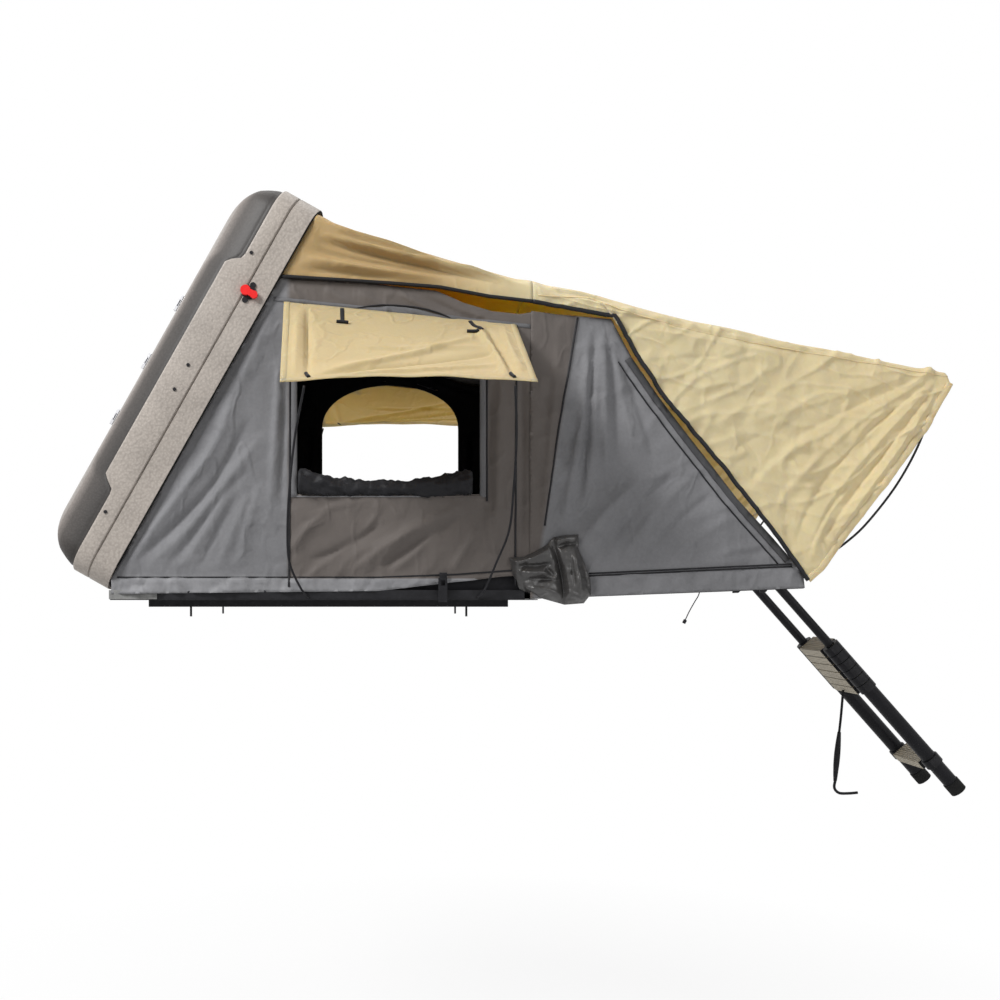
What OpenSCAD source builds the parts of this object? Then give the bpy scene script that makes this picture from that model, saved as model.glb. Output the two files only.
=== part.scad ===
// Roof top tent with a hinged hard lid, a fold-out floor, a soft tent body and a telescopic ladder.
// X runs from the lid hinge towards the ladder, Y runs across, Z is up.
// Z = 0 is the underside of the rails that sit on the roof rack.

/* [Base] */
// Length of the base along X
base_l = 1450; // [1350:10:1550]
// Width of the base across Y
base_w = 1380; // [1300:10:1460]
// Height of the aluminium edge frames of base and floor
frame_h = 31; // [26:1:38]
// Width of the edge frame profile
frame_b = 30; // [24:1:40]
// Thickness of the bottom skin that the floor rests on
skin_t = 3; // [2:0.5:5]
// Height of the roof-rack rails
rail_h = 25; // [22:1:35]
// Width of the roof-rack rails
rail_b = 40; // [36:1:60]
// Distance of the rack bolts along X
bolt_dx = 1000; // [800:10:1100]
// Distance of the rack bolts across Y
bolt_dy = 800; // [600:10:1000]
// Free length of the rack bolts below the rails
bolt_free = 35; // [25:1:50]

/* [Lid] */
// Opening angle of the lid
lid_open = 60.6; // [50:0.1:70]
// Height of the lid hinge above the base frame
lid_lift = 17; // [14:1:25]
// Overhang of the lid past the base at each side
lid_over = 20; // [16:1:50]
// Corner radius of the lid seen from above
lid_r = 90; // [80:5:180]
// Height of the lower rim band
rim_h = 75; // [60:1:80]
// Thickness of the rim band
rim_t = 10; // [8:1:12]
// Height of the groove between rim and shell
groove_h = 6; // [4:1:10]
// Height of the shell's upright band
band_h = 58; // [50:1:70]
// Rise of the sloped part of the shell
dome_h = 143; // [110:1:160]
// Inward run of the shell's slope
dome_in = 101; // [80:1:120]
// Wall thickness of the shell
shell_t = 6; // [4:0.5:8]

/* [Floor] */
// Length of the fold-out floor
floor_l = 931; // [850:1:960]
// Set-back of the floor's sides from the base's sides
floor_in = 20; // [20:1:60]
// Upward tilt of the folded-out floor
floor_up = 2.2; // [0:0.1:3]
// Rise of the folding axis above the floor surface
fold_rise = 45; // [43:1:55]
// Distance from the folding axis to the panel edges
fold_gap = 10; // [9:0.5:14]
// Thickness of the mattress pads
pad_t = 40; // [30:1:41]

/* [Hinges] */
// Radius of the hinge barrels
knuckle_r = 8; // [7:0.5:9]
// Radius of the hinge pins
pin_r = 4; // [3:0.5:5]
// Radial running clearance on pins
run = 0.06; // [0.02:0.01:0.1]
// Width of one hinge across Y
hinge_b = 120; // [90:10:160]
// Spacing of the hinges across Y
hinge_dy = 500; // [400:10:560]

/* [Struts] */
// Distance of the strut's base pivot from the lid hinge
strut_a = 130; // [120:1:140]
// Distance of the strut's lid end from the lid hinge
strut_b = 450; // [430:1:460]
// Radius of the strut cylinder
strut_r = 9; // [8:0.5:10]

/* [Hoop] */
// Length of the hoop's legs from pivot to top
hoop_l = 890; // [850:1:895]
// Radius of the hoop tube
hoop_r = 11; // [9:0.5:12]
// Lean of the hoop from upright
hoop_lean = 15.5; // [12:0.1:18]

/* [Ladder] */
// Distance between the ladder's rails
ladder_w = 294; // [270:1:340]
// Angle of the ladder below level
ladder_tilt = 50.8; // [45:0.1:55]
// Outer radius of the top tube
tube_r = 17; // [15:0.5:18]
// Wall thickness of the tubes
tube_t = 1.5; // [1.2:0.1:1.6]
// Radial clearance between nested tubes
tube_gap = 0.3; // [0.2:0.05:0.4]
// Pitch of the stacked collars
collar_p = 38; // [36:0.5:42]
// Radius of the collars
collar_r = 33; // [32:0.5:35]
// Depth of the treads
tread_d = 75; // [60:1:80]
// Travel of one section
travel = 260; // [200:5:270]

/* [Fabric] */
// Thickness of the tent fabric panels
cloth_t = 4; // [3:0.5:6]
// Radius of the spring steel rods
rod_r = 4; // [3:0.5:5]

/* [Hidden] */
$fn = 48;
e = 0.05;
floor_z = rail_h + skin_t;
top_z = floor_z + frame_h;
hx = -base_l / 2 - 10;
hz = top_z + lid_lift;
lid_x0 = -16;
lid_x1 = base_l + 26;
lid_mid = (lid_x0 + lid_x1) / 2 + 5;
catch_x = lid_x1 - 380;
keep_x = hx + catch_x + 41;
fold_x = base_l / 2 - 35;
fold_z = top_z + fold_rise;
base_x0 = -base_l / 2;
base_x1 = fold_x - fold_gap;
floor_x0 = fold_x + fold_gap;
floor_x1 = floor_x0 + floor_l;
base_y = base_w / 2;
lid_y = base_y + lid_over;
floor_y = base_y - floor_in;
neck_z = rim_h + groove_h;
dome_z = neck_z + band_h;
cap_z = dome_z + dome_h;
strut_y = base_y - 22;
strut_x = hx + strut_a;
strut_z = top_z + 11;
strut_bz = 30;
eye_x = hx + strut_b * cos(lid_open) - strut_bz * sin(lid_open);
eye_z = hz + strut_b * sin(lid_open) + strut_bz * cos(lid_open);
strut_l = sqrt(pow(eye_x - strut_x, 2) + pow(eye_z - strut_z, 2));
strut_ang = atan2(eye_z - strut_z, eye_x - strut_x);
hoop_x = floor_x0 + 60;
hoop_z = top_z + hoop_r + 3;
hoop_y = base_y - 45;
stow_x = floor_x1 + 15;
stow_z = floor_z + 2;
swing_x = stow_x + 36;
swing_z = stow_z + 46.5;
head_l = norm([swing_x - stow_x, swing_z - stow_z]);
head_ang = atan2(swing_z - stow_z, swing_x - stow_x);
rail_y = ladder_w / 2;
stack_x = travel + 91;
wall_y = base_y - 1;
fly_y = lid_y - 10;
split_x = fold_x + 18;
top_bar = tilted(hoop_x + hoop_l * sin(hoop_lean), hoop_z + hoop_l * cos(hoop_lean));
ridge_x = top_bar[0] + 10.25;
ridge_z = top_bar[1] + 38.87;
hang_y = floor_y + 2;
strap_at = tilted(swing_x, swing_z);
rear_z = 1100;
fly_z = hz + (lid_x1 - 26.3) * sin(lid_open);

// Distance along X of the lid's rim plane at height z
function rim_x(z) = hx + (z - hz) / tan(lid_open);
// Edge of the cloth sewn to the lid's rim at height z
function seat_x(z) = rim_x(z) + 0.6;
// Outer radius of ladder tube k
function tube_or(k) = tube_r + (k - 1) * (tube_t + tube_gap);
// Place in X and Z of a floor point when the floor is folded out
function tilted(x, z) = [fold_x + (x - fold_x) * cos(floor_up) - (z - fold_z) * sin(floor_up),
    fold_z + (x - fold_x) * sin(floor_up) + (z - fold_z) * cos(floor_up)];
// Top end of collar k along the ladder
function collar_x(k) = stack_x + collar_p * (k - 2);

// Plan outline with round corners
module plan(x0, x1, y, r) {
  translate([x0 + r, -y]) square([x1 - x0 - 2 * r, 2 * y]);
  translate([x0, -y + r]) square([x1 - x0, 2 * y - 2 * r]);
  for (x = [x0 + r, x1 - r], s = [-1, 1]) {
    translate([x, s * (y - r)]) circle(r);
  }
}

// Box from corner to corner
module box(a, b) {
  translate(a) cube(b - a);
}

// Round bar across Y
module bar(x, z, y0, y1, r) {
  translate([x, y0, z]) rotate([-90, 0, 0]) cylinder(h = y1 - y0, r = r);
}

// Upright sheet in XZ from y0 to y1
module sheet(y0, y1, pts) {
  translate([0, y1, 0]) rotate([90, 0, 0]) linear_extrude(y1 - y0) polygon(pts);
}

// Lid's own frame: hinge axis at the origin, rim plane level
module lid_at() {
  translate([hx, 0, hz]) rotate([0, -lid_open, 0]) children();
}

// Floor as it stands when folded out, tilted about the folding axis
module floor_at() {
  translate([fold_x, 0, fold_z]) rotate([0, -floor_up, 0]) translate([-fold_x, 0, -fold_z]) children();
}

// Ladder's own frame: swing axis at the origin, X down the ladder
module ladder_at() {
  floor_at() translate([swing_x, 0, swing_z]) rotate([0, ladder_tilt, 0]) children();
}

// Strut's own frame: base pivot at the origin, X along the strut
module strut_at() {
  translate([strut_x, 0, strut_z]) rotate([0, -strut_ang, 0]) children();
}

// Rod or cord along a route with n sides
module route(p, r, n) {
  m = len(p);
  t = [for (i = [0 : m - 1]) let (v = p[min(i + 1, m - 1)] - p[max(i - 1, 0)]) v / norm(v)];
  u = [for (i = [0 : m - 1]) let (c = cross(t[i], [1, 0.01, 0]), d = norm(c)) c / d];
  w = [for (i = [0 : m - 1]) cross(t[i], u[i])];
  ring = [for (i = [0 : m - 1], k = [0 : n - 1]) p[i] + r * (cos(360 * k / n) * u[i] + sin(360 * k / n)
      * w[i])];
  sides = [for (i = [0 : m - 2], k = [0 : n - 1]) [i * n + k, (i + 1) * n + k, (i + 1) * n + (k + 1)
      % n, i * n + (k + 1) % n]];
  ends = [[for (k = [0 : n - 1]) k], [for (k = [n - 1 : -1 : 0]) (m - 1) * n + k]];
  polyhedron(ring, concat(sides, ends), convexity = 8);
}

// Foam pad with crowned top
module pad(x0, x1, y, z, h) {
  nx = 12;
  ny = 12;
  function top(i, j) = z + h * (0.72 + 0.28 * pow(sin(180 * i / nx) * sin(180 * j / ny), 0.3));
  up = [for (i = [0 : nx], j = [0 : ny]) [x0 + (x1 - x0) * i / nx, -y + 2 * y * j / ny, top(i, j)]];
  dn = [for (i = [0 : nx], j = [0 : ny]) [x0 + (x1 - x0) * i / nx, -y + 2 * y * j / ny, z]];
  o = (nx + 1) * (ny + 1);
  function id(i, j) = i * (ny + 1) + j;
  a = [for (i = [0 : nx - 1], j = [0 : ny - 1]) [id(i, j), id(i, j + 1), id(i + 1, j + 1)]];
  b = [for (i = [0 : nx - 1], j = [0 : ny - 1]) [id(i, j), id(i + 1, j + 1), id(i + 1, j)]];
  c = [for (i = [0 : nx - 1], j = [0 : ny - 1]) [o + id(i, j), o + id(i + 1, j), o + id(i + 1, j + 1),
      o + id(i, j + 1)]];
  d = [for (i = [0 : nx - 1]) [id(i, 0), id(i + 1, 0), o + id(i + 1, 0), o + id(i, 0)]];
  f = [for (i = [0 : nx - 1]) [id(i + 1, ny), id(i, ny), o + id(i, ny), o + id(i + 1, ny)]];
  g = [for (j = [0 : ny - 1]) [id(0, j + 1), id(0, j), o + id(0, j), o + id(0, j + 1)]];
  h2 = [for (j = [0 : ny - 1]) [id(nx, j), id(nx, j + 1), o + id(nx, j + 1), o + id(nx, j)]];
  polyhedron(concat(up, dn), concat(a, b, c, d, f, g, h2), convexity = 4);
}

// Roof-rack rails with a T-slot along their underside
module mount_rails() {
  color([0.12, 0.12, 0.13]) for (s = [-1, 1]) {
    difference() {
      box([base_x0 + 75, s * bolt_dy / 2 - rail_b / 2, 0], [base_x0 + base_l - 75,
          s * bolt_dy / 2 + rail_b / 2, rail_h]);
      box([base_x0, s * bolt_dy / 2 - 6.5, -1], [base_x0 + base_l, s * bolt_dy / 2 + 6.5, 6]);
      box([base_x0, s * bolt_dy / 2 - 11, 5], [base_x0 + base_l, s * bolt_dy / 2 + 11, 15]);
    }
  }
}

// Slot bolts that hold the rails to the rack
module rack_bolts() {
  color([0.7, 0.7, 0.72]) for (x = [-1, 1], s = [-1, 1]) {
    translate([x * bolt_dx / 2, s * bolt_dy / 2, 0]) {
      translate([0, 0, -bolt_free]) cylinder(h = bolt_free + 6, r = 4);
      translate([-10, -10, 5]) cube([20, 20, 7]);
    }
  }
}

// Bottom skin, long enough to carry the folded-out floor's edge
module base_skin() {
  color([0.08, 0.08, 0.09]) box([base_x0, -base_y, rail_h], [base_x0 + base_l, base_y, floor_z]);
}

// Edge frame of the base
module base_frame() {
  color([0.06, 0.06, 0.065]) difference() {
    box([base_x0, -base_y, floor_z], [base_x1, base_y, top_z]);
    box([base_x0 + frame_b, -base_y + frame_b, floor_z - 1], [base_x1 - frame_b, base_y - frame_b,
        top_z + 1]);
  }
}

// Sandwich panel inside the base frame
module base_panel() {
  color([0.55, 0.55, 0.56]) box([base_x0 + frame_b, -base_y + frame_b, floor_z], [base_x1 - frame_b,
      base_y - frame_b, top_z]);
}

// Corner angles at the hinge end of the base
module base_corners() {
  color([0.45, 0.45, 0.44]) for (s = [-1, 1]) {
    difference() {
      box([base_x0 - 3, s < 0 ? -base_y - 3 : base_y - 70, floor_z], [base_x0 + 160,
          s < 0 ? -base_y + 70 : base_y + 3, top_z]);
      box([base_x0, s < 0 ? -base_y : base_y - 71, floor_z - 1], [base_x0 + 161,
          s < 0 ? -base_y + 71 : base_y, top_z + 1]);
    }
  }
}

// Pins of the lid hinges and the floor hinges
module hinge_pins() {
  color([0.6, 0.6, 0.62]) for (k = [-1 : 1]) {
    bar(hx, hz, k * hinge_dy - hinge_b / 2 - 2, k * hinge_dy + hinge_b / 2 + 2, pin_r);
    bar(fold_x, fold_z, k * hinge_dy - hinge_b / 2 - 2, k * hinge_dy + hinge_b / 2 + 2, pin_r);
  }
}

// Base leaves of the lid hinges
module lid_hinge_base() {
  color([0.1, 0.1, 0.1]) for (k = [-1 : 1]) {
    difference() {
      union() {
        box([base_x0 - 3, k * hinge_dy - hinge_b / 2, floor_z + 2], [base_x0,
            k * hinge_dy + hinge_b / 2, hz - 1]);
        for (s = [-1, 1]) {
          bar(hx, hz, k * hinge_dy + s * hinge_b / 3 - hinge_b / 6,
              k * hinge_dy + s * hinge_b / 3 + hinge_b / 6, knuckle_r);
          translate([hx, k * hinge_dy + s * hinge_b / 3 - hinge_b / 6, hz - knuckle_r]) cube([9,
              hinge_b / 3, knuckle_r - 1]);
        }
      }
      bar(hx, hz, k * hinge_dy - hinge_b, k * hinge_dy + hinge_b, pin_r + run);
      box([base_x0 - 4, k * hinge_dy - hinge_b / 6, hz - knuckle_r - 2], [base_x0 + 1,
          k * hinge_dy + hinge_b / 6, hz]);
    }
  }
}

// Base leaves of the floor hinges
module floor_hinge_base() {
  color([0.1, 0.1, 0.1]) for (k = [-1 : 1]) {
    difference() {
      union() {
        box([base_x1, k * hinge_dy - hinge_b / 2, floor_z + 2], [base_x1 + 3,
            k * hinge_dy + hinge_b / 2, fold_z - 1]);
        for (s = [-1, 1]) {
          bar(fold_x, fold_z, k * hinge_dy + s * hinge_b / 3 - hinge_b / 6,
              k * hinge_dy + s * hinge_b / 3 + hinge_b / 6, knuckle_r);
          translate([base_x1 + 1, k * hinge_dy + s * hinge_b / 3 - hinge_b / 6, fold_z - knuckle_r])
              cube([fold_gap - 1, hinge_b / 3, knuckle_r - 1]);
        }
      }
      bar(fold_x, fold_z, k * hinge_dy - hinge_b, k * hinge_dy + hinge_b, pin_r + run);
      box([base_x1 - 1, k * hinge_dy - hinge_b / 6, fold_z - knuckle_r - 4], [base_x1 + 4,
          k * hinge_dy + hinge_b / 6, fold_z]);
    }
  }
}

// Keepers on the base's sides: a block on the frame and a plate with a loop outside the lid's rim
module latch_keepers() {
  color([0.05, 0.05, 0.055]) for (s = [-1, 1]) {
    y0 = s < 0 ? -lid_y - 2 : base_y;
    y1 = s < 0 ? -lid_y - 10 : lid_y + 2;
    box([keep_x - 15, y0, floor_z], [keep_x + 15, y0 + lid_y + 2 - base_y, top_z - 1]);
    difference() {
      box([keep_x - 15, y1, floor_z - 10], [keep_x + 15, y1 + 8, hz + 24]);
      box([keep_x - 8, y1 - 1, hz - 2], [keep_x + 8, y1 + 9, hz + 17]);
    }
  }
}

// Clevises of the gas struts on the base
module strut_base_brackets() {
  color([0.2, 0.2, 0.2]) for (s = [-1, 1]) {
    for (d = [-1, 1]) {
      translate([strut_x - 12, s * strut_y + d * 11 - 2, top_z]) cube([24, 4, 20]);
    }
    bar(strut_x, strut_z, s * strut_y - 12, s * strut_y + 12, pin_r);
  }
}

// Mattress half on the base
module mattress_base() {
  color([0.35, 0.36, 0.37]) pad(base_x0 + 35, base_x1 - 20, base_y - 90, top_z, pad_t);
}

// Inner roof between lid and hoop
module roof_inner() {
  color([0.42, 0.43, 0.45]) sheet(-wall_y + cloth_t + 1, wall_y - cloth_t - 1,
    [[seat_x(rear_z - cloth_t), rear_z - cloth_t], [split_x, ridge_z + 25 - cloth_t], [split_x, ridge_z + 25],
        [seat_x(rear_z), rear_z]]);
}

// Outline of the fly's roof from lid to hoop
function fly_line(x) = fly_z + (ridge_z + 137 - fly_z) * (x - seat_x(fly_z)) / (split_x - seat_x(fly_z));
fly_top = [[seat_x(fly_z), fly_z], [150, fly_line(150) - 18], [420, fly_line(420) - 13], [split_x,
    ridge_z + 137]];

// Rain fly from the lid's edge to the hoop, with its hanging sides
module fly_roof() {
  color([0.62, 0.55, 0.42]) {
    sheet(-fly_y, fly_y, concat(fly_top, [for (i = [3 : -1 : 0]) fly_top[i] - [0, cloth_t]]));
    for (s = [-1, 1]) {
      sheet(s < 0 ? -fly_y : fly_y - cloth_t, s < 0 ? -fly_y + cloth_t : fly_y,
        concat(fly_top, [[split_x, ridge_z + 55], [560, 1052], [394, 1083], [180, 1100],
            [seat_x(fly_z - 219), fly_z - 219]]));
    }
  }
}

// Window outline
win = [[-91, 384], [529, 384], [529, 800], [505, 890], [430, 955], [320, 990], [190, 1000], [60, 985],
    [-30, 930], [-91, 850]];

// Side wall with its window and the bead along its lower edge
module wall(s) {
  color([0.42, 0.43, 0.45]) {
    difference() {
      sheet(s < 0 ? -wall_y : wall_y - cloth_t, s < 0 ? -wall_y + cloth_t : wall_y,
        [[base_x0 + 5, top_z + 3], [base_x1, top_z + 3], [split_x - 6, 160], [split_x - 2, ridge_z + 24],
        [seat_x(rear_z), rear_z], [seat_x(100), 100]]);
      sheet(-wall_y - 1, wall_y + 1, win);
    }
    translate([base_x0 + 5, s * (wall_y - cloth_t / 2), top_z + 3]) rotate([0, 90, 0])
      cylinder(h = base_x1 - base_x0 - 5, r = 3);
  }
}

module wall_near() {
  wall(-1);
}

module wall_far() {
  wall(1);
}

// Rolled-down window panel
module window_roll(s) {
  color([0.05, 0.05, 0.055]) translate([-86, s * (wall_y - cloth_t / 2), 384 + 36]) rotate([0, 90, 0])
      cylinder(h = 590, r = 36);
}

module window_roll_near() {
  window_roll(-1);
}

module window_roll_far() {
  window_roll(1);
}

// Reach of an awning's outer edge from the wall
function awning_out(s) = s < 0 ? 401 : 330;
// Height of an awning's outer edge
function awning_z(s) = s < 0 ? 690 : 860;

// Window awning, held out by its rods
module awning(s) {
  y0 = s * (wall_y + 0.3);
  y1 = s * (wall_y + awning_out(s));
  z1 = awning_z(s);
  a = [[-135, y0, 1035], [651, y0, 957], [677, y1, z1], [-110, y1, z1]];
  m = [for (i = [0 : 6], j = [0 : 6]) let (u = i / 6, v = j / 6)
    (1 - v) * ((1 - u) * a[0] + u * a[1]) + v * ((1 - u) * a[3] + u * a[2])
    - [0, 0, 22 * sin(180 * u) * sin(180 * v)]];
  dn = [for (p = m) p - [0, 0, cloth_t]];
  function id(i, j) = i * 7 + j;
  q1 = [for (i = [0 : 5], j = [0 : 5]) [id(i, j), id(i, j + 1), id(i + 1, j + 1)]];
  q2 = [for (i = [0 : 5], j = [0 : 5]) [id(i, j), id(i + 1, j + 1), id(i + 1, j)]];
  r1 = [for (f = concat(q1, q2)) [49 + f[2], 49 + f[1], 49 + f[0]]];
  e1 = [for (i = [0 : 5]) [id(i, 0), id(i + 1, 0), 49 + id(i + 1, 0), 49 + id(i, 0)]];
  e2 = [for (i = [0 : 5]) [id(i + 1, 6), id(i, 6), 49 + id(i, 6), 49 + id(i + 1, 6)]];
  e3 = [for (j = [0 : 5]) [id(0, j + 1), id(0, j), 49 + id(0, j), 49 + id(0, j + 1)]];
  e4 = [for (j = [0 : 5]) [id(6, j), id(6, j + 1), 49 + id(6, j + 1), 49 + id(6, j)]];
  all = concat(q1, q2, r1, e1, e2, e3, e4);
  turned = [for (f = all) [for (k = [len(f) - 1 : -1 : 0]) f[k]]];
  color([0.62, 0.55, 0.42]) polyhedron(concat(m, dn), s < 0 ? turned : all, convexity = 4);
}

module awning_near() {
  awning(-1);
}

module awning_far() {
  awning(1);
}

// Spring steel rods from the base's side to the awning's outer edge
module awning_rods(s) {
  color([0.1, 0.1, 0.1]) for (x = [[-67, -33], [563, 604]]) {
    route([[x[0], s * (base_y + 4), 34], [x[0], s * (base_y + 16), 50], [x[0] + 4, s * (base_y + 70),
        120], [(x[0] + x[1]) / 2, s * (base_y + 0.536 * awning_out(s)), 0.507 * awning_z(s)],
      [x[1] - 4, s * (base_y + 0.823 * awning_out(s)), 0.797 * awning_z(s)],
      [x[1], s * (base_y + awning_out(s) - 7), awning_z(s) - cloth_t - rod_r]], rod_r, 10);
  }
}

module awning_rods_near() {
  awning_rods(-1);
}

module awning_rods_far() {
  awning_rods(1);
}

// Hard lid shell: neck, upright band and sloped dome
module lid_shell() {
  color([0.3, 0.27, 0.24]) lid_at() {
    difference() {
      union() {
        translate([0, 0, rim_h]) linear_extrude(groove_h + 1) plan(lid_x0 + 8, lid_x1 - 8, lid_y - 8,
            lid_r - 8);
        translate([0, 0, neck_z]) linear_extrude(band_h) plan(lid_x0, lid_x1, lid_y, lid_r);
        hull() {
          translate([0, 0, dome_z - 2]) linear_extrude(1) plan(lid_x0 + 4, lid_x1 - 4, lid_y - 4,
              lid_r - 4);
          translate([0, 0, cap_z - 1]) linear_extrude(1) plan(lid_x0 + 4 + dome_in,
              lid_x1 - 4 - dome_in, lid_y - 4 - dome_in, 60);
        }
        for (s = [-1, 1]) {
          box([lid_mid - 405, s < 0 ? -lid_y : lid_y - 60, dome_z - 2], [lid_mid + 415,
              s < 0 ? -lid_y + 60 : lid_y, dome_z + 47]);
        }
      }
      translate([0, 0, rim_h - 1]) linear_extrude(dome_z - rim_h) plan(lid_x0 + 8 + shell_t,
          lid_x1 - 8 - shell_t, lid_y - 8 - shell_t, lid_r - 8 - shell_t);
      hull() {
        translate([0, 0, dome_z - 3]) linear_extrude(1) plan(lid_x0 + 4 + shell_t, lid_x1 - 4 - shell_t,
            lid_y - 8 - shell_t, lid_r - 8 - shell_t);
        translate([0, 0, cap_z - 1 - shell_t]) linear_extrude(1)
            plan(lid_x0 + 8 + dome_in + shell_t / 2, lid_x1 - 8 - dome_in - shell_t / 2,
                lid_y - 8 - dome_in - shell_t / 2, 56);
      }
      for (s = [-1, 1]) {
        box([lid_mid - 399, s < 0 ? -lid_y + shell_t : lid_y - 140, dome_z - 4], [lid_mid + 409,
            s < 0 ? -lid_y + 140 : lid_y - shell_t, dome_z + 41]);
      }
    }
  }
}

// Rim band with the fabric rails along its long sides
module lid_rim() {
  color([0.3, 0.27, 0.24]) lid_at() {
    difference() {
      linear_extrude(rim_h) plan(lid_x0, lid_x1, lid_y, lid_r);
      translate([0, 0, -1]) linear_extrude(rim_h + 2) plan(lid_x0 + rim_t, lid_x1 - rim_t,
          lid_y - rim_t, lid_r - rim_t);
      for (k = [-1 : 1]) {
        bar(0, 0, k * hinge_dy - hinge_b / 2 - 4, k * hinge_dy + hinge_b / 2 + 4, knuckle_r + 1);
      }
    }
    for (s = [-1, 1]) {
      box([strut_a + 14, s < 0 ? -lid_y + rim_t - 1 : lid_y - 31, 0], [lid_x1 - lid_r,
          s < 0 ? -lid_y + 31 : lid_y - rim_t + 1, 5]);
    }
  }
}

// Liner panel under the lid's top
module lid_liner() {
  color([0.5, 0.5, 0.5]) lid_at() translate([0, 0, cap_z - shell_t - 8]) linear_extrude(8)
      plan(lid_x0 + 130, lid_x1 - 130, lid_y - 130, 60);
}

// Rivets along the upright band
module lid_rivets() {
  color([0.05, 0.05, 0.05]) lid_at() for (d = [-520, -46, 48, 482], s = [-1, 1]) {
    translate([lid_mid + d, s * lid_y, neck_z + 40]) rotate([s * -90, 0, 0]) cylinder(h = 3, r = 6);
  }
}

// Tie-down fittings on the lid's top
module lid_fittings() {
  color([0.55, 0.55, 0.55]) lid_at() for (d = [-223, 0, 231], s = [-1, 1]) {
    difference() {
      translate([lid_mid + d - 30, s * (lid_y - 140) - 14, cap_z]) cube([60, 28, 10]);
      translate([lid_mid + d - 12, s * (lid_y - 140) - 15, cap_z + 3]) cube([24, 30, 3]);
    }
  }
}

// Lid leaves of the lid hinges
module lid_hinge_lid() {
  color([0.1, 0.1, 0.1]) lid_at() for (k = [-1 : 1]) {
    difference() {
      union() {
        box([lid_x0 + rim_t, k * hinge_dy - hinge_b / 2, knuckle_r + 2], [lid_x0 + rim_t + 3,
            k * hinge_dy + hinge_b / 2, 60]);
        bar(0, 0, k * hinge_dy - hinge_b / 6 + 1, k * hinge_dy + hinge_b / 6 - 1, knuckle_r);
        translate([lid_x0 + rim_t, k * hinge_dy - hinge_b / 6 + 1, 0]) cube([3, hinge_b / 3 - 2,
            knuckle_r + 3]);
      }
      bar(0, 0, k * hinge_dy - hinge_b, k * hinge_dy + hinge_b, pin_r + run);
    }
  }
}

// Plates that carry the turning catches, each with two screws
module catch_plates() {
  color([0.05, 0.05, 0.05]) lid_at() for (s = [-1, 1]) {
    translate([catch_x, s * lid_y, 62]) rotate([s * -90, 0, 0]) {
      cylinder(h = 4, r = 24);
      cylinder(h = 14, r = 5);
      for (d = [-1, 1]) {
        translate([d * 28, 0, 0]) cylinder(h = 4, r = 10);
        translate([d * 28, 0, 0]) cylinder(h = 4.3, r = 5);
      }
      translate([-28, -8, 0]) cube([56, 16, 4]);
    }
  }
}

// Turning catch
module catch_knob(s) {
  color([0.6, 0.08, 0.08]) lid_at() translate([catch_x, s * lid_y, 62]) rotate([s * -90, 0, 0])
      translate([0, 0, 4.5]) {
    difference() {
      union() {
        translate([0, -s * 12, 0]) cylinder(h = 13, r = 17);
        translate([0, s * 20, 0]) cylinder(h = 13, r = 13);
        translate([-11, -22, 0]) cube([22, 44, 13]);
      }
      translate([0, 0, -1]) cylinder(h = 11, r = 5 + run);
    }
  }
}

module catch_near() {
  catch_knob(-1);
}

module catch_far() {
  catch_knob(1);
}

// Lid studs that the struts push on
module strut_lid_brackets() {
  color([0.2, 0.2, 0.2]) lid_at() for (s = [-1, 1]) {
    box([strut_b - 20, s < 0 ? -lid_y + rim_t : lid_y - rim_t - 4, strut_bz - 14], [strut_b + 20,
        s < 0 ? -lid_y + rim_t + 4 : lid_y - rim_t, strut_bz + 14]);
    bar(strut_b, strut_bz, s < 0 ? -lid_y + rim_t + 3 : strut_y + 8.5,
        s < 0 ? -strut_y - 8.5 : lid_y - rim_t - 3, 8);
  }
}

// Gas strut cylinders with their base eyes
module strut_cylinders() {
  color([0.06, 0.06, 0.06]) strut_at() for (s = [-1, 1]) {
    difference() {
      union() {
        bar(0, 0, s * strut_y - 8, s * strut_y + 8, 10);
        translate([8, s * strut_y, 0]) rotate([0, 90, 0]) cylinder(h = 227, r = strut_r);
      }
      bar(0, 0, s * strut_y - 9, s * strut_y + 9, pin_r + run);
      translate([16, s * strut_y, 0]) rotate([0, 90, 0]) cylinder(h = 212, r = strut_r - 2);
      translate([220, s * strut_y, 0]) rotate([0, 90, 0]) cylinder(h = 20, r = 4.6);
    }
  }
}

// Gas strut rods with their pistons and end eyes
module strut_rods() {
  color([0.75, 0.75, 0.77]) strut_at() for (s = [-1, 1]) {
    translate([122, s * strut_y, 0]) rotate([0, 90, 0]) cylinder(h = strut_l - 122, r = 4.5);
    translate([122, s * strut_y, 0]) rotate([0, 90, 0]) cylinder(h = 10, r = strut_r - 2.2);
    bar(strut_l, 0, s * strut_y - 8, s * strut_y + 8, 10);
  }
}

// Edge frame of the fold-out floor
module floor_frame() {
  color([0.06, 0.06, 0.065]) floor_at() difference() {
    box([floor_x0, -floor_y, floor_z], [floor_x1, floor_y, top_z]);
    box([floor_x0 + frame_b, -floor_y + frame_b, floor_z - 1], [floor_x1 - frame_b, floor_y - frame_b,
        top_z + 1]);
  }
}

// Sandwich panel inside the floor frame
module floor_panel() {
  color([0.55, 0.55, 0.56]) floor_at() box([floor_x0 + frame_b, -floor_y + frame_b, floor_z],
      [floor_x1 - frame_b, floor_y - frame_b, top_z]);
}

// Plates at the floor's end corners that hold the hood's rods
module hood_rod_plates() {
  color([0.7, 0.7, 0.7]) floor_at() for (s = [-1, 1]) {
    difference() {
      box([floor_x1 - 39, s < 0 ? -floor_y - 4 : floor_y, floor_z + 6], [floor_x1 - 5,
          s < 0 ? -floor_y : floor_y + 4, top_z + 80]);
      for (z = [30, 60]) {
        bar(floor_x1 - 22, top_z + z, -floor_y - 5, floor_y + 5, 4);
      }
    }
  }
}

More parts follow.
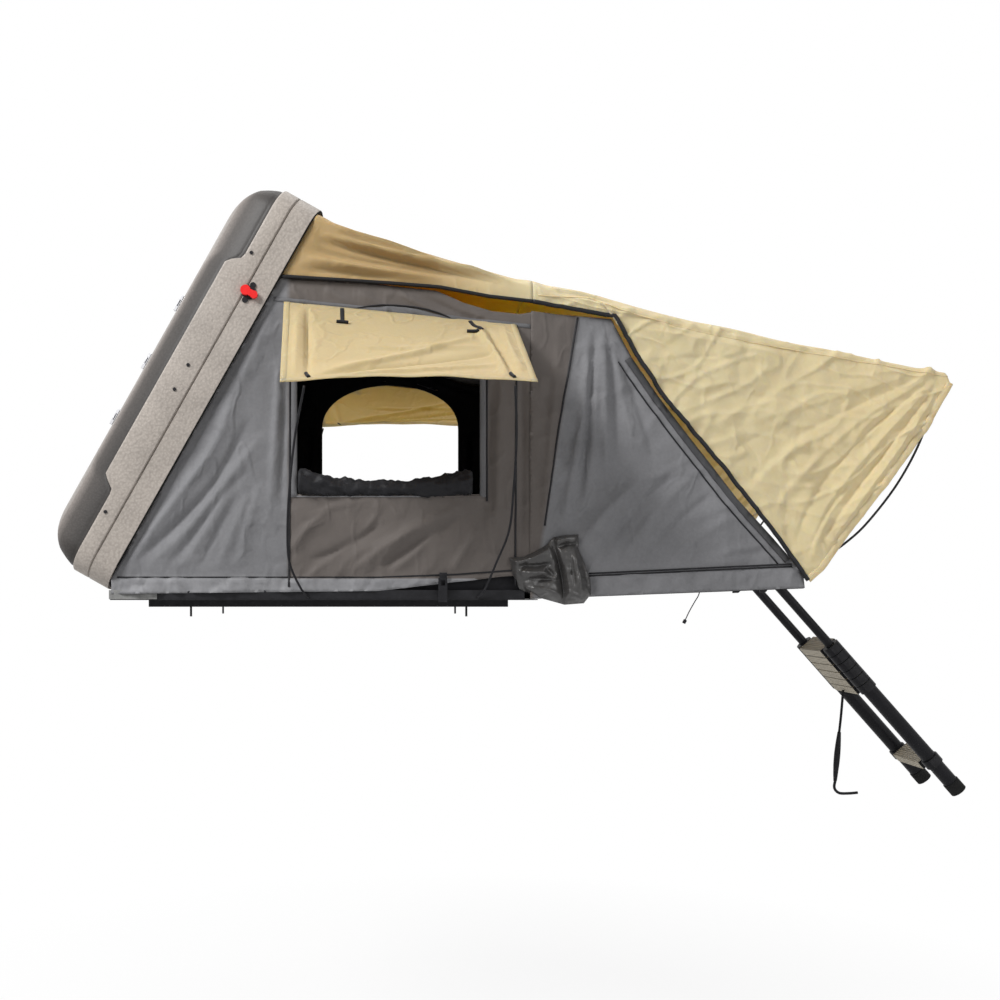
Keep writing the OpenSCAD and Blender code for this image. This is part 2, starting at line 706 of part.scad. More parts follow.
// Mattress half on the fold-out floor
module mattress_floor() {
  color([0.35, 0.36, 0.37]) floor_at() pad(floor_x0 + 60, floor_x1 - 30, floor_y - 70, top_z, pad_t);
}

// Floor leaves of the floor hinges
module floor_hinge_floor() {
  color([0.1, 0.1, 0.1]) floor_at() for (k = [-1 : 1]) {
    difference() {
      union() {
        box([floor_x0 - 3, k * hinge_dy - hinge_b / 2, floor_z + 2], [floor_x0,
            k * hinge_dy + hinge_b / 2, fold_z - 1]);
        bar(fold_x, fold_z, k * hinge_dy - hinge_b / 6 + 1, k * hinge_dy + hinge_b / 6 - 1, knuckle_r);
        translate([fold_x, k * hinge_dy - hinge_b / 6 + 1, fold_z - knuckle_r]) cube([fold_gap,
            hinge_b / 3 - 2, knuckle_r - 1]);
      }
      bar(fold_x, fold_z, k * hinge_dy - hinge_b, k * hinge_dy + hinge_b, pin_r + run);
      for (s = [-1, 1]) {
        box([floor_x0 - 4, k * hinge_dy + s * hinge_b / 3 - hinge_b / 6 - 1, fold_z - knuckle_r - 4],
            [floor_x0 + 1, k * hinge_dy + s * hinge_b / 3 + hinge_b / 6 + 1, fold_z]);
      }
    }
  }
}

// Clevis plates of the hoop with their pins
module hoop_brackets() {
  color([0.12, 0.12, 0.12]) floor_at() for (s = [-1, 1]) {
    translate([hoop_x - 14, s * (hoop_y - 18) - 2, top_z]) cube([28, 4, hoop_r + 14]);
    bar(hoop_x, hoop_z, s < 0 ? -hoop_y - 10 : hoop_y - 19, s < 0 ? -hoop_y + 19 : hoop_y + 10, 5);
  }
}

// Hoop with corner fittings that carries the tent body
module hoop() {
  color([0.7, 0.7, 0.72]) floor_at() translate([hoop_x, 0, hoop_z]) rotate([0, hoop_lean, 0]) difference() {
    union() {
      for (s = [-1, 1]) {
        bar(0, 0, s * hoop_y - hoop_r, s * hoop_y + hoop_r, hoop_r + 1);
        translate([0, s * hoop_y, 0]) cylinder(h = hoop_l, r = hoop_r);
        translate([-hoop_r - 3, s * hoop_y - hoop_r - 3, hoop_l - 24]) cube([2 * hoop_r + 6,
            2 * hoop_r + 6, 40]);
      }
      bar(0, hoop_l, -hoop_y, hoop_y, hoop_r);
    }
    bar(0, 0, -hoop_y - 20, hoop_y + 20, 5 + run);
  }
}

// Brackets on the floor's end that carry the ladder
module ladder_blocks() {
  color([0.1, 0.1, 0.1]) floor_at() for (s = [-1, 1]) {
    y0 = s < 0 ? -rail_y - 40 : rail_y + 30;
    difference() {
      union() {
        box([floor_x1, y0, stow_z - 14], [stow_x, y0 + 10, stow_z + 14]);
        bar(stow_x, stow_z, y0, y0 + 10, 14);
        box([floor_x1, s * (rail_y + 50) - 20, floor_z], [floor_x1 + 4, s * (rail_y + 50) + 20, top_z]);
      }
      bar(stow_x, stow_z, y0 - 1, y0 + 11, 5 + run);
    }
  }
}

// Swing plates between the floor's brackets and the ladder, with their pins
module ladder_head() {
  color([0.1, 0.1, 0.1]) floor_at() for (s = [-1, 1]) {
    y0 = s < 0 ? -rail_y - 29 : rail_y + 19;
    bar(stow_x, stow_z, y0, y0 + 10, 14);
    bar(swing_x, swing_z, y0, y0 + 10, 14);
    translate([stow_x, y0 + 0.5, stow_z]) rotate([0, -head_ang, 0]) translate([0, 0, -12]) cube([head_l,
        9, 24]);
    bar(stow_x, stow_z, s < 0 ? -rail_y - 42 : rail_y + 25, s < 0 ? -rail_y - 25 : rail_y + 42, 5);
    bar(swing_x, swing_z, s < 0 ? -rail_y - 25 : rail_y - 18, s < 0 ? -rail_y + 18 : rail_y + 25, 6);
  }
}

// Top section of the ladder
module ladder_1() {
  color([0.07, 0.07, 0.075]) ladder_at() for (s = [-1, 1]) {
    difference() {
      translate([-22, s * rail_y, 0]) rotate([0, 90, 0]) cylinder(h = 473, r = tube_or(1));
      translate([20, s * rail_y, 0]) rotate([0, 90, 0]) cylinder(h = 500, r = tube_or(1) - tube_t);
      bar(0, 0, s * rail_y - 30, s * rail_y + 30, 6 + run);
    }
  }
}

// One sliding section: two tubes, two collars and a tread
module section(k, l) {
  x = collar_x(k);
  ladder_at() {
    for (s = [-1, 1]) {
      color([0.07, 0.07, 0.075]) difference() {
        translate([x, s * rail_y, 0]) rotate([0, 90, 0]) cylinder(h = l, r = tube_or(k));
        translate([x - 1, s * rail_y, 0]) rotate([0, 90, 0]) cylinder(h = l + 2, r = tube_or(k) - tube_t);
      }
      color([0.05, 0.05, 0.05]) difference() {
        translate([x, s * rail_y, 0]) rotate([0, 90, 0]) cylinder(h = collar_p - 2, r = collar_r);
        translate([x - 1, s * rail_y, 0]) rotate([0, 90, 0]) cylinder(h = collar_p, r = tube_or(k) + e);
      }
    }
    color([0.5, 0.46, 0.38]) difference() {
      box([x + 1, -rail_y, -tread_d / 2], [x + collar_p - 3, rail_y, tread_d / 2]);
      for (s = [-1, 1]) {
        translate([x - 1, s * rail_y, 0]) rotate([0, 90, 0]) cylinder(h = collar_p + 2, r = collar_r + e);
        box([x - 1, s * rail_y - 30, -tread_d], [x + collar_p, s * rail_y + 30, tread_d]);
      }
    }
  }
}

module ladder_2() {
  section(2, 400);
}

module ladder_3() {
  section(3, 400);
}

module ladder_4() {
  section(4, 400);
}

module ladder_5() {
  section(5, 400);
}

module ladder_6() {
  section(6, 400);
}

module ladder_7() {
  section(7, 540);
}

// Lowest rung, clamped on the bottom tubes
module ladder_bottom_rung() {
  ladder_at() {
    x = collar_x(7) + 385;
    color([0.06, 0.06, 0.06]) for (s = [-1, 1]) {
      difference() {
        translate([x, s * rail_y, 0]) rotate([0, 90, 0]) cylinder(h = 36, r = collar_r + 1);
        translate([x - 1, s * rail_y, 0]) rotate([0, 90, 0]) cylinder(h = 38, r = tube_or(7) + e);
      }
    }
    color([0.5, 0.46, 0.38]) difference() {
      box([x + 1, -rail_y, -tread_d / 2], [x + 35, rail_y, tread_d / 2]);
      for (s = [-1, 1]) {
        translate([x - 1, s * rail_y, 0]) rotate([0, 90, 0]) cylinder(h = 38, r = collar_r + 1 + e);
        box([x - 1, s * rail_y - 31, -tread_d], [x + 36, s * rail_y + 31, tread_d]);
      }
    }
  }
}

// Rubber feet
module ladder_feet() {
  color([0.04, 0.04, 0.04]) ladder_at() for (s = [-1, 1]) {
    x = collar_x(7) + 540;
    difference() {
      translate([x - 30, s * rail_y, 0]) rotate([0, 90, 0]) cylinder(h = 48, r = tube_or(7) + 3);
      translate([x - 31, s * rail_y, 0]) rotate([0, 90, 0]) cylinder(h = 31, r = tube_or(7) + e);
    }
  }
}

// Pull strap that hangs from the lowest sliding tread
module ladder_strap() {
  color([0.05, 0.05, 0.05]) translate([strap_at[0], 0, strap_at[1]]) route([[338.9, 0, -447.6],
      [335.7, 0, -484.6], [329.7, 0, -554.6], [321.7, 0, -627.6], [313.7, 0, -714.6],
      [307.7, 0, -804.6]], 5, 8);
}

// Tie cord that hangs from the floor's near edge
module floor_cord() {
  color([0.05, 0.05, 0.05]) floor_at() translate([floor_x1, 0, 0]) route([[-353, -hang_y, 46],
      [-360, -hang_y, 20], [-374, -hang_y + 8, -6], [-390, -hang_y + 17, -36],
      [-403, -hang_y + 25, -66]], 1.8, 8);
}

// Side panel between hoop and floor end
module side2(s) {
  color([0.42, 0.43, 0.45]) sheet(s < 0 ? -floor_y - cloth_t - 4 : floor_y + 4,
      s < 0 ? -floor_y - 4 : floor_y + cloth_t + 4,
    [tilted(split_x, floor_z + 2), tilted(floor_x1 - 2, floor_z + 2), tilted(floor_x1 - 2, top_z + 6),
        [ridge_x, ridge_z],
        [split_x, ridge_z + 24]]);
}

module side_near() {
  side2(-1);
}

module side_far() {
  side2(1);
}

// Inner roof strip over the hoop and sloping front with the door
module tent_front() {
  color([0.42, 0.43, 0.45]) sheet(-floor_y + 1, floor_y - 1, [[split_x, ridge_z + 24], [ridge_x, ridge_z],
      tilted(floor_x1 - 2, top_z + 6), tilted(floor_x1 - 2, top_z), tilted(floor_x1 - 6, top_z),
      [ridge_x - 5, ridge_z - cloth_t], [split_x, ridge_z + 24 - cloth_t]]);
}

// Outline of the hood's roof from hoop to tip
hood_top = [[split_x + 3, ridge_z + 137], [split_x + 228, ridge_z + 91], [split_x + 540, ridge_z + 7],
    [floor_x1 - 10, 900], [floor_x1 + 319, 832], [floor_x1 + 455, 802], [floor_x1 + 461, 770]];

// Rain fly hood over the entrance
module fly_hood() {
  color([0.62, 0.55, 0.42]) {
    sheet(-fly_y, fly_y, concat(hood_top, [for (i = [6 : -1 : 0]) hood_top[i] - [i > 4 ? cloth_t : 0,
        cloth_t]]));
    for (s = [-1, 1]) {
      sheet(s < 0 ? -fly_y : fly_y - cloth_t, s < 0 ? -fly_y + cloth_t : fly_y,
        concat(hood_top, [[floor_x1 + 329, 480], [floor_x1 + 136, 220], [floor_x1 + 69, 118],
            [floor_x1 + 14, 103], [floor_x1 - 81, 222], [floor_x1 - 193, 368], [floor_x1 - 376, 618],
            [split_x + 384, 829], [split_x + 272, ridge_z + 7], [split_x + 3, ridge_z + 55]]));
    }
  }
}

// Bowed rods that hold the hood out
module hood_rods() {
  color([0.1, 0.1, 0.1]) for (s = [-1, 1]) {
    foot = tilted(floor_x1 - 22, top_z + 45);
    route([[foot[0], s * (floor_y + 4 + rod_r), foot[1]], [floor_x1 + 69, s * (floor_y + 10), 172],
        [floor_x1 + 150, s * (floor_y + 12), 228], [floor_x1 + 219, s * (floor_y + 13), 295],
        [floor_x1 + 314, s * (floor_y + 15), 420], [floor_x1 + 389, s * (floor_y + 16), 560],
        [floor_x1 + 429, s * (floor_y + 17), 690],
        [floor_x1 + 437, s * (floor_y + 17), 804.4 - cloth_t]], rod_r, 10);
  }
}

// Soft sleeve that hangs at the joint of base and floor, with the tab it is sewn on by
module pouch() {
  color([0.42, 0.43, 0.45]) {
    translate([split_x, 0, 0]) sheet(-base_y - 18, -base_y, [[-36, 240], [52, 252], [192, 246], [197, 150],
      [188, 60], [162, 14], [52, 8], [-8, 16], [-32, 60], [-40, 150]]);
    box([split_x + 32, -base_y - 2, 200], [split_x + 182, -floor_y - cloth_t - 4, 240]);
  }
}

mount_rails();
rack_bolts();
base_skin();
base_frame();
base_panel();
base_corners();
hinge_pins();
lid_hinge_base();
floor_hinge_base();
latch_keepers();
strut_base_brackets();
mattress_base();
roof_inner();
fly_roof();
wall_near();
window_roll_near();
awning_near();
awning_rods_near();
wall_far();
window_roll_far();
awning_far();
awning_rods_far();
lid_shell();
lid_rim();
lid_liner();
lid_rivets();
lid_fittings();
lid_hinge_lid();
catch_plates();
strut_lid_brackets();
catch_near();
catch_far();
strut_cylinders();
strut_rods();
floor_frame();
floor_panel();
hood_rod_plates();
mattress_floor();
floor_hinge_floor();
hoop_brackets();
ladder_blocks();
side_near();
side_far();
tent_front();
fly_hood();
hood_rods();
pouch();
hoop();
ladder_head();
ladder_1();
ladder_2();
ladder_3();
ladder_4();
ladder_5();
ladder_6();
ladder_7();
ladder_bottom_rung();
ladder_feet();
ladder_strap();
floor_cord();
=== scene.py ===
import math

import bpy
import numpy as np
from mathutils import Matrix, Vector, geometry, noise


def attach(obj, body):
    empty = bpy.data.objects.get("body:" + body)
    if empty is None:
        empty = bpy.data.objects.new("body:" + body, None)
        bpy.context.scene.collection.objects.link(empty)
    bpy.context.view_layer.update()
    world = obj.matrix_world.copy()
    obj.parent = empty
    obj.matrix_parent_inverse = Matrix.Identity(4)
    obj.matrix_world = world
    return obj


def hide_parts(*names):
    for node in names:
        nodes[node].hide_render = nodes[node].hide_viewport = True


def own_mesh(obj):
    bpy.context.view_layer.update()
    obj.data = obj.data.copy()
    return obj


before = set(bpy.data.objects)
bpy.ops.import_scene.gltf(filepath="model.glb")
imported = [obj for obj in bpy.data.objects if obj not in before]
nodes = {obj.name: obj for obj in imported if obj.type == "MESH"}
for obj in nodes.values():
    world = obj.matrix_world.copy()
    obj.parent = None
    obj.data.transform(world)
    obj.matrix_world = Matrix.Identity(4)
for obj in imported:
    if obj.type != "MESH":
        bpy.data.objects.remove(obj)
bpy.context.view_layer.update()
scene = bpy.context.scene

# Sizes of the frame in metres
LID_ANGLE = math.radians(60.6)
HINGE = (-0.735, 0.076)
LID_Y = 0.710
LID_X = (-0.016, 1.476)
BASE_Y = 0.690
WALL_Y = 0.687
FLY_Y = 0.698
FLOOR_TOP = 0.059
SEAM_X = 0.708
FLOOR_END = 1.631
SIDE_Y = 0.676
FOLD = (0.690, 0.104)
FLOOR_UP = math.radians(2.2)
RAIL_Y = 0.147

# Thickness of the shell and the cloths, and how far a seam stands out of its cloth
SHELL_WALL = 0.004
WALL_CLOTH = 0.002
FLY_CLOTH = 0.0016
THIN_CLOTH = 0.0015
DOOR_CLOTH = 0.0018
SEAM_LIFT = 0.001

# Folds: their tables are written in thousandths, and the sides are shares of a fold's width
THOUSANDTH = 0.001
FOLD_STEP, FOLD_REACH, STEEP, GENTLE = 0.03, 3, 0.6, 1.3


# Materials
def new_material(name):
    material = bpy.data.materials.new(name)
    material.use_nodes = True
    tree = material.node_tree
    return material, tree, tree.nodes["Principled BSDF"]


def put(socket, value):
    """Sets a node's input to a plain value, or links it to another node's output."""
    if isinstance(value, bpy.types.NodeSocket):
        socket.id_data.links.new(value, socket)
    else:
        socket.default_value = value


def fill(node, **inputs):
    """Sets a node's inputs by name, written with _ for a space."""
    for key, value in inputs.items():
        put(node.inputs[key.replace("_", " ")], value)
    return node


def add(tree, kind, **inputs):
    return fill(tree.nodes.new(kind), **inputs)


def coordinates(tree, scale=(1, 1, 1)):
    place = add(tree, "ShaderNodeTexCoord").outputs["Object"]
    return add(tree, "ShaderNodeMapping", Vector=place, Scale=scale).outputs["Vector"]


def noise_at(tree, vector, scale, detail=3.0, rough=0.55):
    node = add(tree, "ShaderNodeTexNoise", Vector=vector, Scale=scale, Detail=detail, Roughness=rough)
    return node.outputs["Fac"]


def ramp(tree, value, stops):
    node = add(tree, "ShaderNodeValToRGB", Fac=value)
    while len(node.color_ramp.elements) < len(stops):
        node.color_ramp.elements.new(0.5)
    for element, (place, colour) in zip(node.color_ramp.elements, stops):
        element.position = place
        element.color = (*colour, 1)
    return node.outputs["Color"]


def bump(tree, shader, height, strength, distance, **below):
    """Bumps for a shader, on top of those that Normal may give."""
    node = add(tree, "ShaderNodeBump", Height=height, Strength=strength, Distance=distance, **below)
    fill(shader, Normal=node.outputs["Normal"])
    return node.outputs["Normal"]


def math_node(tree, operation, *values, clamp=False):
    node = tree.nodes.new("ShaderNodeMath")
    node.operation = operation
    node.use_clamp = clamp
    for socket, value in zip(node.inputs, values):
        put(socket, value)
    return node.outputs["Value"]


def weighted(tree, first, share, second):
    """A share of the first value and the rest of the second."""
    part = math_node(tree, "MULTIPLY", first, share)
    return math_node(tree, "ADD", part, math_node(tree, "MULTIPLY", second, 1 - share))


def map_range(tree, value, kind="LINEAR", **ends):
    node = add(tree, "ShaderNodeMapRange", Value=value, **ends)
    node.interpolation_type = kind
    return node.outputs["Result"]


def mixed(tree, share, first, second, blend="MIX"):
    node = tree.nodes.new("ShaderNodeMix")
    node.data_type = "RGBA"
    node.blend_type = blend
    return fill(node, Factor=share, A=first, B=second).outputs["Result"]


def tint(colour, share):
    return tuple(min(1.0, c * share) for c in colour)


# Scale at which the wave texture has one band for each metre
WAVE_SCALE = 0.314


def wave_at(tree, vector, pitch, axis, **inputs):
    """Bands across one axis, pitch apart."""
    wave = add(tree, "ShaderNodeTexWave", Vector=vector, Scale=WAVE_SCALE / pitch, **inputs)
    wave.bands_direction = axis
    return wave.outputs["Fac"]


def weave_height(tree, pitch):
    """Over-and-under weave of two thread directions, in all three planes."""
    vector = coordinates(tree)
    x, y, z = (wave_at(tree, vector, pitch, axis, Distortion=0.4, Detail=1.0) for axis in "XYZ")
    return math_node(tree, "ADD", math_node(tree, "ADD", x, y), z)


def wrinkle_height(tree, scale):
    """Thin crisp creases, where a noise crosses its middle value."""
    value = noise_at(tree, coordinates(tree, (1.0, 1.0, 0.6)), scale, 2.5)
    away = math_node(tree, "ABSOLUTE", math_node(tree, "SUBTRACT", value, 0.5))
    return map_range(tree, away, "SMOOTHSTEP", From_Max=0.06, To_Min=1.0, To_Max=0.0)


def box_mask(tree, x, z, lean=0.0, sharp=60.0):
    """1 inside the ranges of X and Z with soft edges, 0 outside. The ends along X lean as they go up."""
    split = add(tree, "ShaderNodeSeparateXYZ", Vector=coordinates(tree))
    up = split.outputs["Z"]
    along = math_node(tree, "SUBTRACT", split.outputs["X"], math_node(tree, "MULTIPLY", up, lean))
    mask = 1.0
    for place, edges, slope in ((along, x, sharp), (up, z, 5.0)):
        for edge, rise in zip(edges, (slope, -slope)):
            away = math_node(tree, "SUBTRACT", place, edge)
            step = math_node(tree, "MULTIPLY_ADD", away, rise, 0.5, clamp=True)
            mask = math_node(tree, "MULTIPLY", mask, step)
    return mask


def cloth_material(name, colour, roughness=0.8, pitch=0.004, sheen=0.04, shade=0.86, through=0.0,
                   wrinkle=0.3, gloss=0.14, warm=None, box=None):
    """Woven cloth: fine threads, soft blotches, and the colour warm inside a box in X and Z.

    Through is the share of light that passes into the cloth and glows on its other side.
    """
    material, tree, shader = new_material(name)
    vector = coordinates(tree)
    share = weighted(tree, noise_at(tree, vector, 5.0, 4.0), 0.65, noise_at(tree, vector, 90.0, 3.0))
    base = ramp(tree, share, [(0.3, tint(colour, shade)), (0.7, tint(colour, 2 - shade))])
    if warm is not None:
        base = mixed(tree, box_mask(tree, **box), base, (*warm, 1))
    fill(shader, Base_Color=base, Roughness=roughness, Sheen_Weight=sheen, Sheen_Roughness=0.5,
         Specular_IOR_Level=gloss, Subsurface_Weight=through, Subsurface_Radius=(1.0, 0.62, 0.26),
         Subsurface_Scale=0.012)
    ripple = bump(tree, shader, noise_at(tree, vector, 26.0, 4.0), 0.22, 0.006)
    crease = bump(tree, shader, wrinkle_height(tree, 7.0), wrinkle, 0.006, Normal=ripple)
    bump(tree, shader, weave_height(tree, pitch), 0.16, 0.0006, Normal=crease)
    return material


def grain_material(name, colour, roughness, grain, depth, shade=0.8, coat=0.0, tones=None):
    """Moulded shell with a hammered grain and worn tone. Tones scale the colour along the tone values, as
    painted shade.
    """
    material, tree, shader = new_material(name)
    vector = coordinates(tree)
    cells = add(tree, "ShaderNodeTexVoronoi", Vector=vector, Scale=1 / grain)
    cells.feature = "SMOOTH_F1"
    dents = cells.outputs["Distance"]
    blotch = noise_at(tree, vector, 7.0, 5.0)
    clean = ramp(tree, blotch, [(0.3, tint(colour, shade)), (0.72, tint(colour, 1.12))])
    worn = ramp(tree, dents, [(0.15, tint(colour, 1.25)), (0.65, tint(colour, 0.72))])
    base = mixed(tree, 0.45, clean, worn)
    # Painted shade: the mesh's tone values darken the colour, most at the foot of the lid's slope.
    if tones is not None:
        place = add(tree, "ShaderNodeAttribute")
        place.attribute_name = "tone"
        scale = ramp(tree, place.outputs["Fac"], [(t, (v, v, v)) for t, v in tones])
        base = mixed(tree, 1.0, base, scale, "MULTIPLY")
    fill(shader, Base_Color=base, Roughness=roughness, Specular_IOR_Level=0.25, Coat_Weight=coat,
         Coat_Roughness=0.3)
    low = bump(tree, shader, noise_at(tree, vector, 160.0, 2.0), 0.25, 0.001)
    bump(tree, shader, dents, 0.55, depth, Normal=low)
    return material


def hard_material(name, colour, roughness=0.45, metallic=0.0, speck=0.25, coat=0.0, scale=40.0):
    """Painted metal or moulded plastic with a fine texture, rubbed tone and uneven gloss."""
    material, tree, shader = new_material(name)
    vector = coordinates(tree)
    tones = [(0.3, tint(colour, 1 - speck)), (0.75, tint(colour, 1 + speck))]
    base = ramp(tree, noise_at(tree, vector, scale, 5.0), tones)
    uneven = noise_at(tree, vector, scale * 0.4, 4.0)
    gloss = map_range(tree, uneven, To_Min=max(0.05, roughness - 0.12), To_Max=min(1.0, roughness + 0.12))
    fill(shader, Base_Color=base, Roughness=gloss, Metallic=metallic, Specular_IOR_Level=0.12,
         Coat_Weight=coat)
    bump(tree, shader, noise_at(tree, vector, 900.0, 2.0), 0.12, 0.0004)
    return material


def ribbed_material(name, colour, pitch, axis):
    """Moulded tread with ribs along its length."""
    material, tree, shader = new_material(name)
    vector = coordinates(tree)
    ribs = wave_at(tree, vector, pitch, axis, Distortion=0.0)
    share = weighted(tree, ribs, 0.55, noise_at(tree, vector, 60.0, 4.0))
    base = ramp(tree, share, [(0.25, tint(colour, 0.62)), (0.7, tint(colour, 1.08))])
    fill(shader, Base_Color=base, Roughness=0.6)
    bump(tree, shader, ribs, 0.8, 0.002)
    return material


GREY = (0.172, 0.172, 0.179)
BROWN = (0.116, 0.102, 0.094)
KHAKI = (0.69, 0.535, 0.325)
# Painted shade for the fly over the roof, whose cloth is khaki like the hood.
FLY_PAINTED_SHADE = (0.40, 0.268, 0.128)
mat_wall = cloth_material("wall_cloth", GREY, roughness=0.62, warm=BROWN,
                          box={"x": (-0.12, 0.90), "z": (-0.2, 1.3)})
# Painted light: side panels, sill seam, inner roof and door take the wall's grey written 5% lighter.
mat_side_painted_light = cloth_material("side_cloth_painted_light", tint(GREY, 1.05), roughness=0.62, warm=BROWN,
                          box={"x": (0.3, 0.703), "z": (-0.2, 1.3), "lean": 0.16})
mat_dark_cloth = cloth_material("dark_cloth", tint(GREY, 0.75))
mat_lining = cloth_material("black_lining", (0.012, 0.012, 0.014), roughness=0.6)
mat_mesh = cloth_material("black_net", (0.014, 0.014, 0.016), roughness=0.55, pitch=0.006)
mat_fly = cloth_material("fly_cloth", KHAKI, roughness=0.62, sheen=0.1, shade=0.95, through=0.5)
# Both awnings are the fly's khaki cloth: the near one written darker as painted shade, the far one lighter
# and more orange as painted light through the cloth.
mat_awning_painted_shade = cloth_material("awning_cloth_painted_shade", (0.452, 0.350, 0.197), roughness=0.62, shade=0.95, through=0.5)
mat_awning_far_painted_light = cloth_material("awning_far_cloth_painted_light", (0.70, 0.50, 0.225), roughness=0.62, shade=0.95,
                                through=0.5)
# Fly over the roof: khaki, turned brown towards the lid as painted shade.
mat_roof_painted_shade = cloth_material("fly_roof_cloth_painted_shade", KHAKI, roughness=0.62, shade=0.95, through=0.5, warm=FLY_PAINTED_SHADE,
                          box={"x": (-1.0, 0.52), "z": (0.0, 2.0), "sharp": 2.8})
# Painted light: the wall's skirt takes the wall's grey written a quarter lighter.
mat_skirt_painted_light = cloth_material("skirt_cloth_painted_light", tint(GREY, 1.25), roughness=0.5)
mat_sleeve = cloth_material("sleeve_cloth", (0.042, 0.040, 0.039), roughness=0.34, sheen=0.0, gloss=0.5)
mat_edge = cloth_material("edge_cloth", tint(GREY, 0.35), roughness=0.45, wrinkle=0.6)
mat_webbing = cloth_material("webbing", (0.016, 0.016, 0.018), pitch=0.003)
mat_pad = cloth_material("pad_cover", (0.20, 0.205, 0.215), roughness=0.95, pitch=0.008)
mat_shell = grain_material("shell_grain", (0.355, 0.318, 0.285), 0.55, 0.0075, 0.0016, coat=0.05)
# Painted shade: the slope and the turn are darker copies of the shell's grain, the slope darkest by the
# band.
mat_slope_painted_shade = grain_material("shell_slope_painted_shade", (0.205, 0.182, 0.168), 0.6, 0.0075, 0.0010, coat=0.05,
                           tones=((0.0, 0.11), (0.18, 0.15), (0.6, 0.30), (1.0, 1.0)))
mat_turn_painted_shade = grain_material("shell_turn_painted_shade", (0.24, 0.22, 0.205), 0.5, 0.0075, 0.0008, coat=0.1)
mat_top = grain_material("shell_top", (0.31, 0.29, 0.272), 0.5, 0.009, 0.0006, coat=0.1)
mat_black_metal = hard_material("black_coat", (0.018, 0.018, 0.02), 0.42)
mat_black_plastic = hard_material("black_plastic", (0.016, 0.016, 0.018), 0.5)
mat_tube = hard_material("ladder_tube", (0.010, 0.010, 0.012), 0.42, scale=20.0)
mat_collar = hard_material("ladder_collar", (0.022, 0.022, 0.024), 0.55)
mat_tread = ribbed_material("tread", (0.42, 0.37, 0.28), 0.006, "Z")
mat_red = hard_material("red_plastic", (0.72, 0.012, 0.012), 0.25, speck=0.08, coat=0.5)
mat_steel = hard_material("plated_steel", (0.56, 0.56, 0.58), 0.34, 1.0, 0.12)
mat_bright = hard_material("bright_rod", (0.72, 0.72, 0.74), 0.14, 1.0, 0.05)
mat_alu = hard_material("aluminium", (0.62, 0.62, 0.64), 0.38, 1.0, 0.1)
mat_grey_paint = hard_material("grey_paint", (0.22, 0.22, 0.215), 0.5)
mat_panel = hard_material("panel_skin", (0.30, 0.30, 0.31), 0.6)
mat_rubber = hard_material("rubber", (0.012, 0.012, 0.012), 0.75)
mat_zip = hard_material("zip_teeth", (0.02, 0.02, 0.022), 0.4, scale=400.0)


# Mesh helpers
def add_mesh(name, points, faces, material):
    mesh = bpy.data.meshes.new(name)
    mesh.from_pydata([tuple(p) for p in points], [], [tuple(f) for f in faces])
    mesh.materials.append(material)
    mesh.polygons.foreach_set("use_smooth", [True] * len(mesh.polygons))
    mesh.update()
    piece = bpy.data.objects.new(name, mesh)
    scene.collection.objects.link(piece)
    return piece


def applied(piece):
    """Turns the modifiers into mesh."""
    graph = bpy.context.evaluated_depsgraph_get()
    made = bpy.data.meshes.new_from_object(piece.evaluated_get(graph))
    piece.modifiers.clear()
    piece.data = made
    return piece


def thicken(piece, thickness, lining=None):
    """Gives a cloth its thickness. The side away from the normals takes the lining."""
    solid = piece.modifiers.new("thickness", "SOLIDIFY")
    solid.thickness = thickness
    solid.offset = -1.0
    if lining is not None:
        piece.data.materials.append(lining)
        solid.material_offset = 1
    return applied(piece)


def grid_faces(rows, columns, wrap=False):
    faces = []
    for i in range(rows - 1):
        for j in range(columns if wrap else columns - 1):
            k = (j + 1) % columns
            faces.append((i * columns + j, i * columns + k, (i + 1) * columns + k, (i + 1) * columns + j))
    return faces


def edges_of(outline):
    """Pairs of neighbouring points round an outline."""
    return zip(outline, list(outline[1:]) + list(outline[:1]))


def dense(points, step, closed=True):
    """The outline with points at most step apart."""
    found = []
    for a, b in edges_of(points) if closed else zip(points, points[1:]):
        a, b = np.array(a, float), np.array(b, float)
        n = max(1, int(math.ceil(np.linalg.norm(b - a) / step)))
        found += [tuple(a + (b - a) * k / n) for k in range(n)]
    return found if closed else found + [tuple(points[-1])]


def inside(points, outline):
    """Which points lie inside the outline."""
    x, y = points.T
    found = np.zeros(len(points), bool)
    for (ax, ay), (bx, by) in edges_of(outline):
        if ay != by:
            found ^= ((ay > y) != (by > y)) & (x < (bx - ax) * (y - ay) / (by - ay) + ax)
    return found


def edge_distance(points, outline):
    """Distance of each point from the nearest edge of the outline."""
    best = np.full(len(points), np.inf)
    for a, b in edges_of(outline):
        d = np.subtract(b, a)
        t = np.clip(((points - a) @ d) / max(d @ d, 1e-12), 0, 1)
        best = np.minimum(best, np.linalg.norm(points - a - t[:, None] * d, axis=1))
    return best


# Height of a row of even triangles, as a share of their side
ROW_RISE = 0.866


def in_cloth(points, loops):
    """Which points lie in the first loop and in none of the others."""
    found = inside(points, loops[0])
    for hole in loops[1:]:
        found &= ~inside(points, hole)
    return found


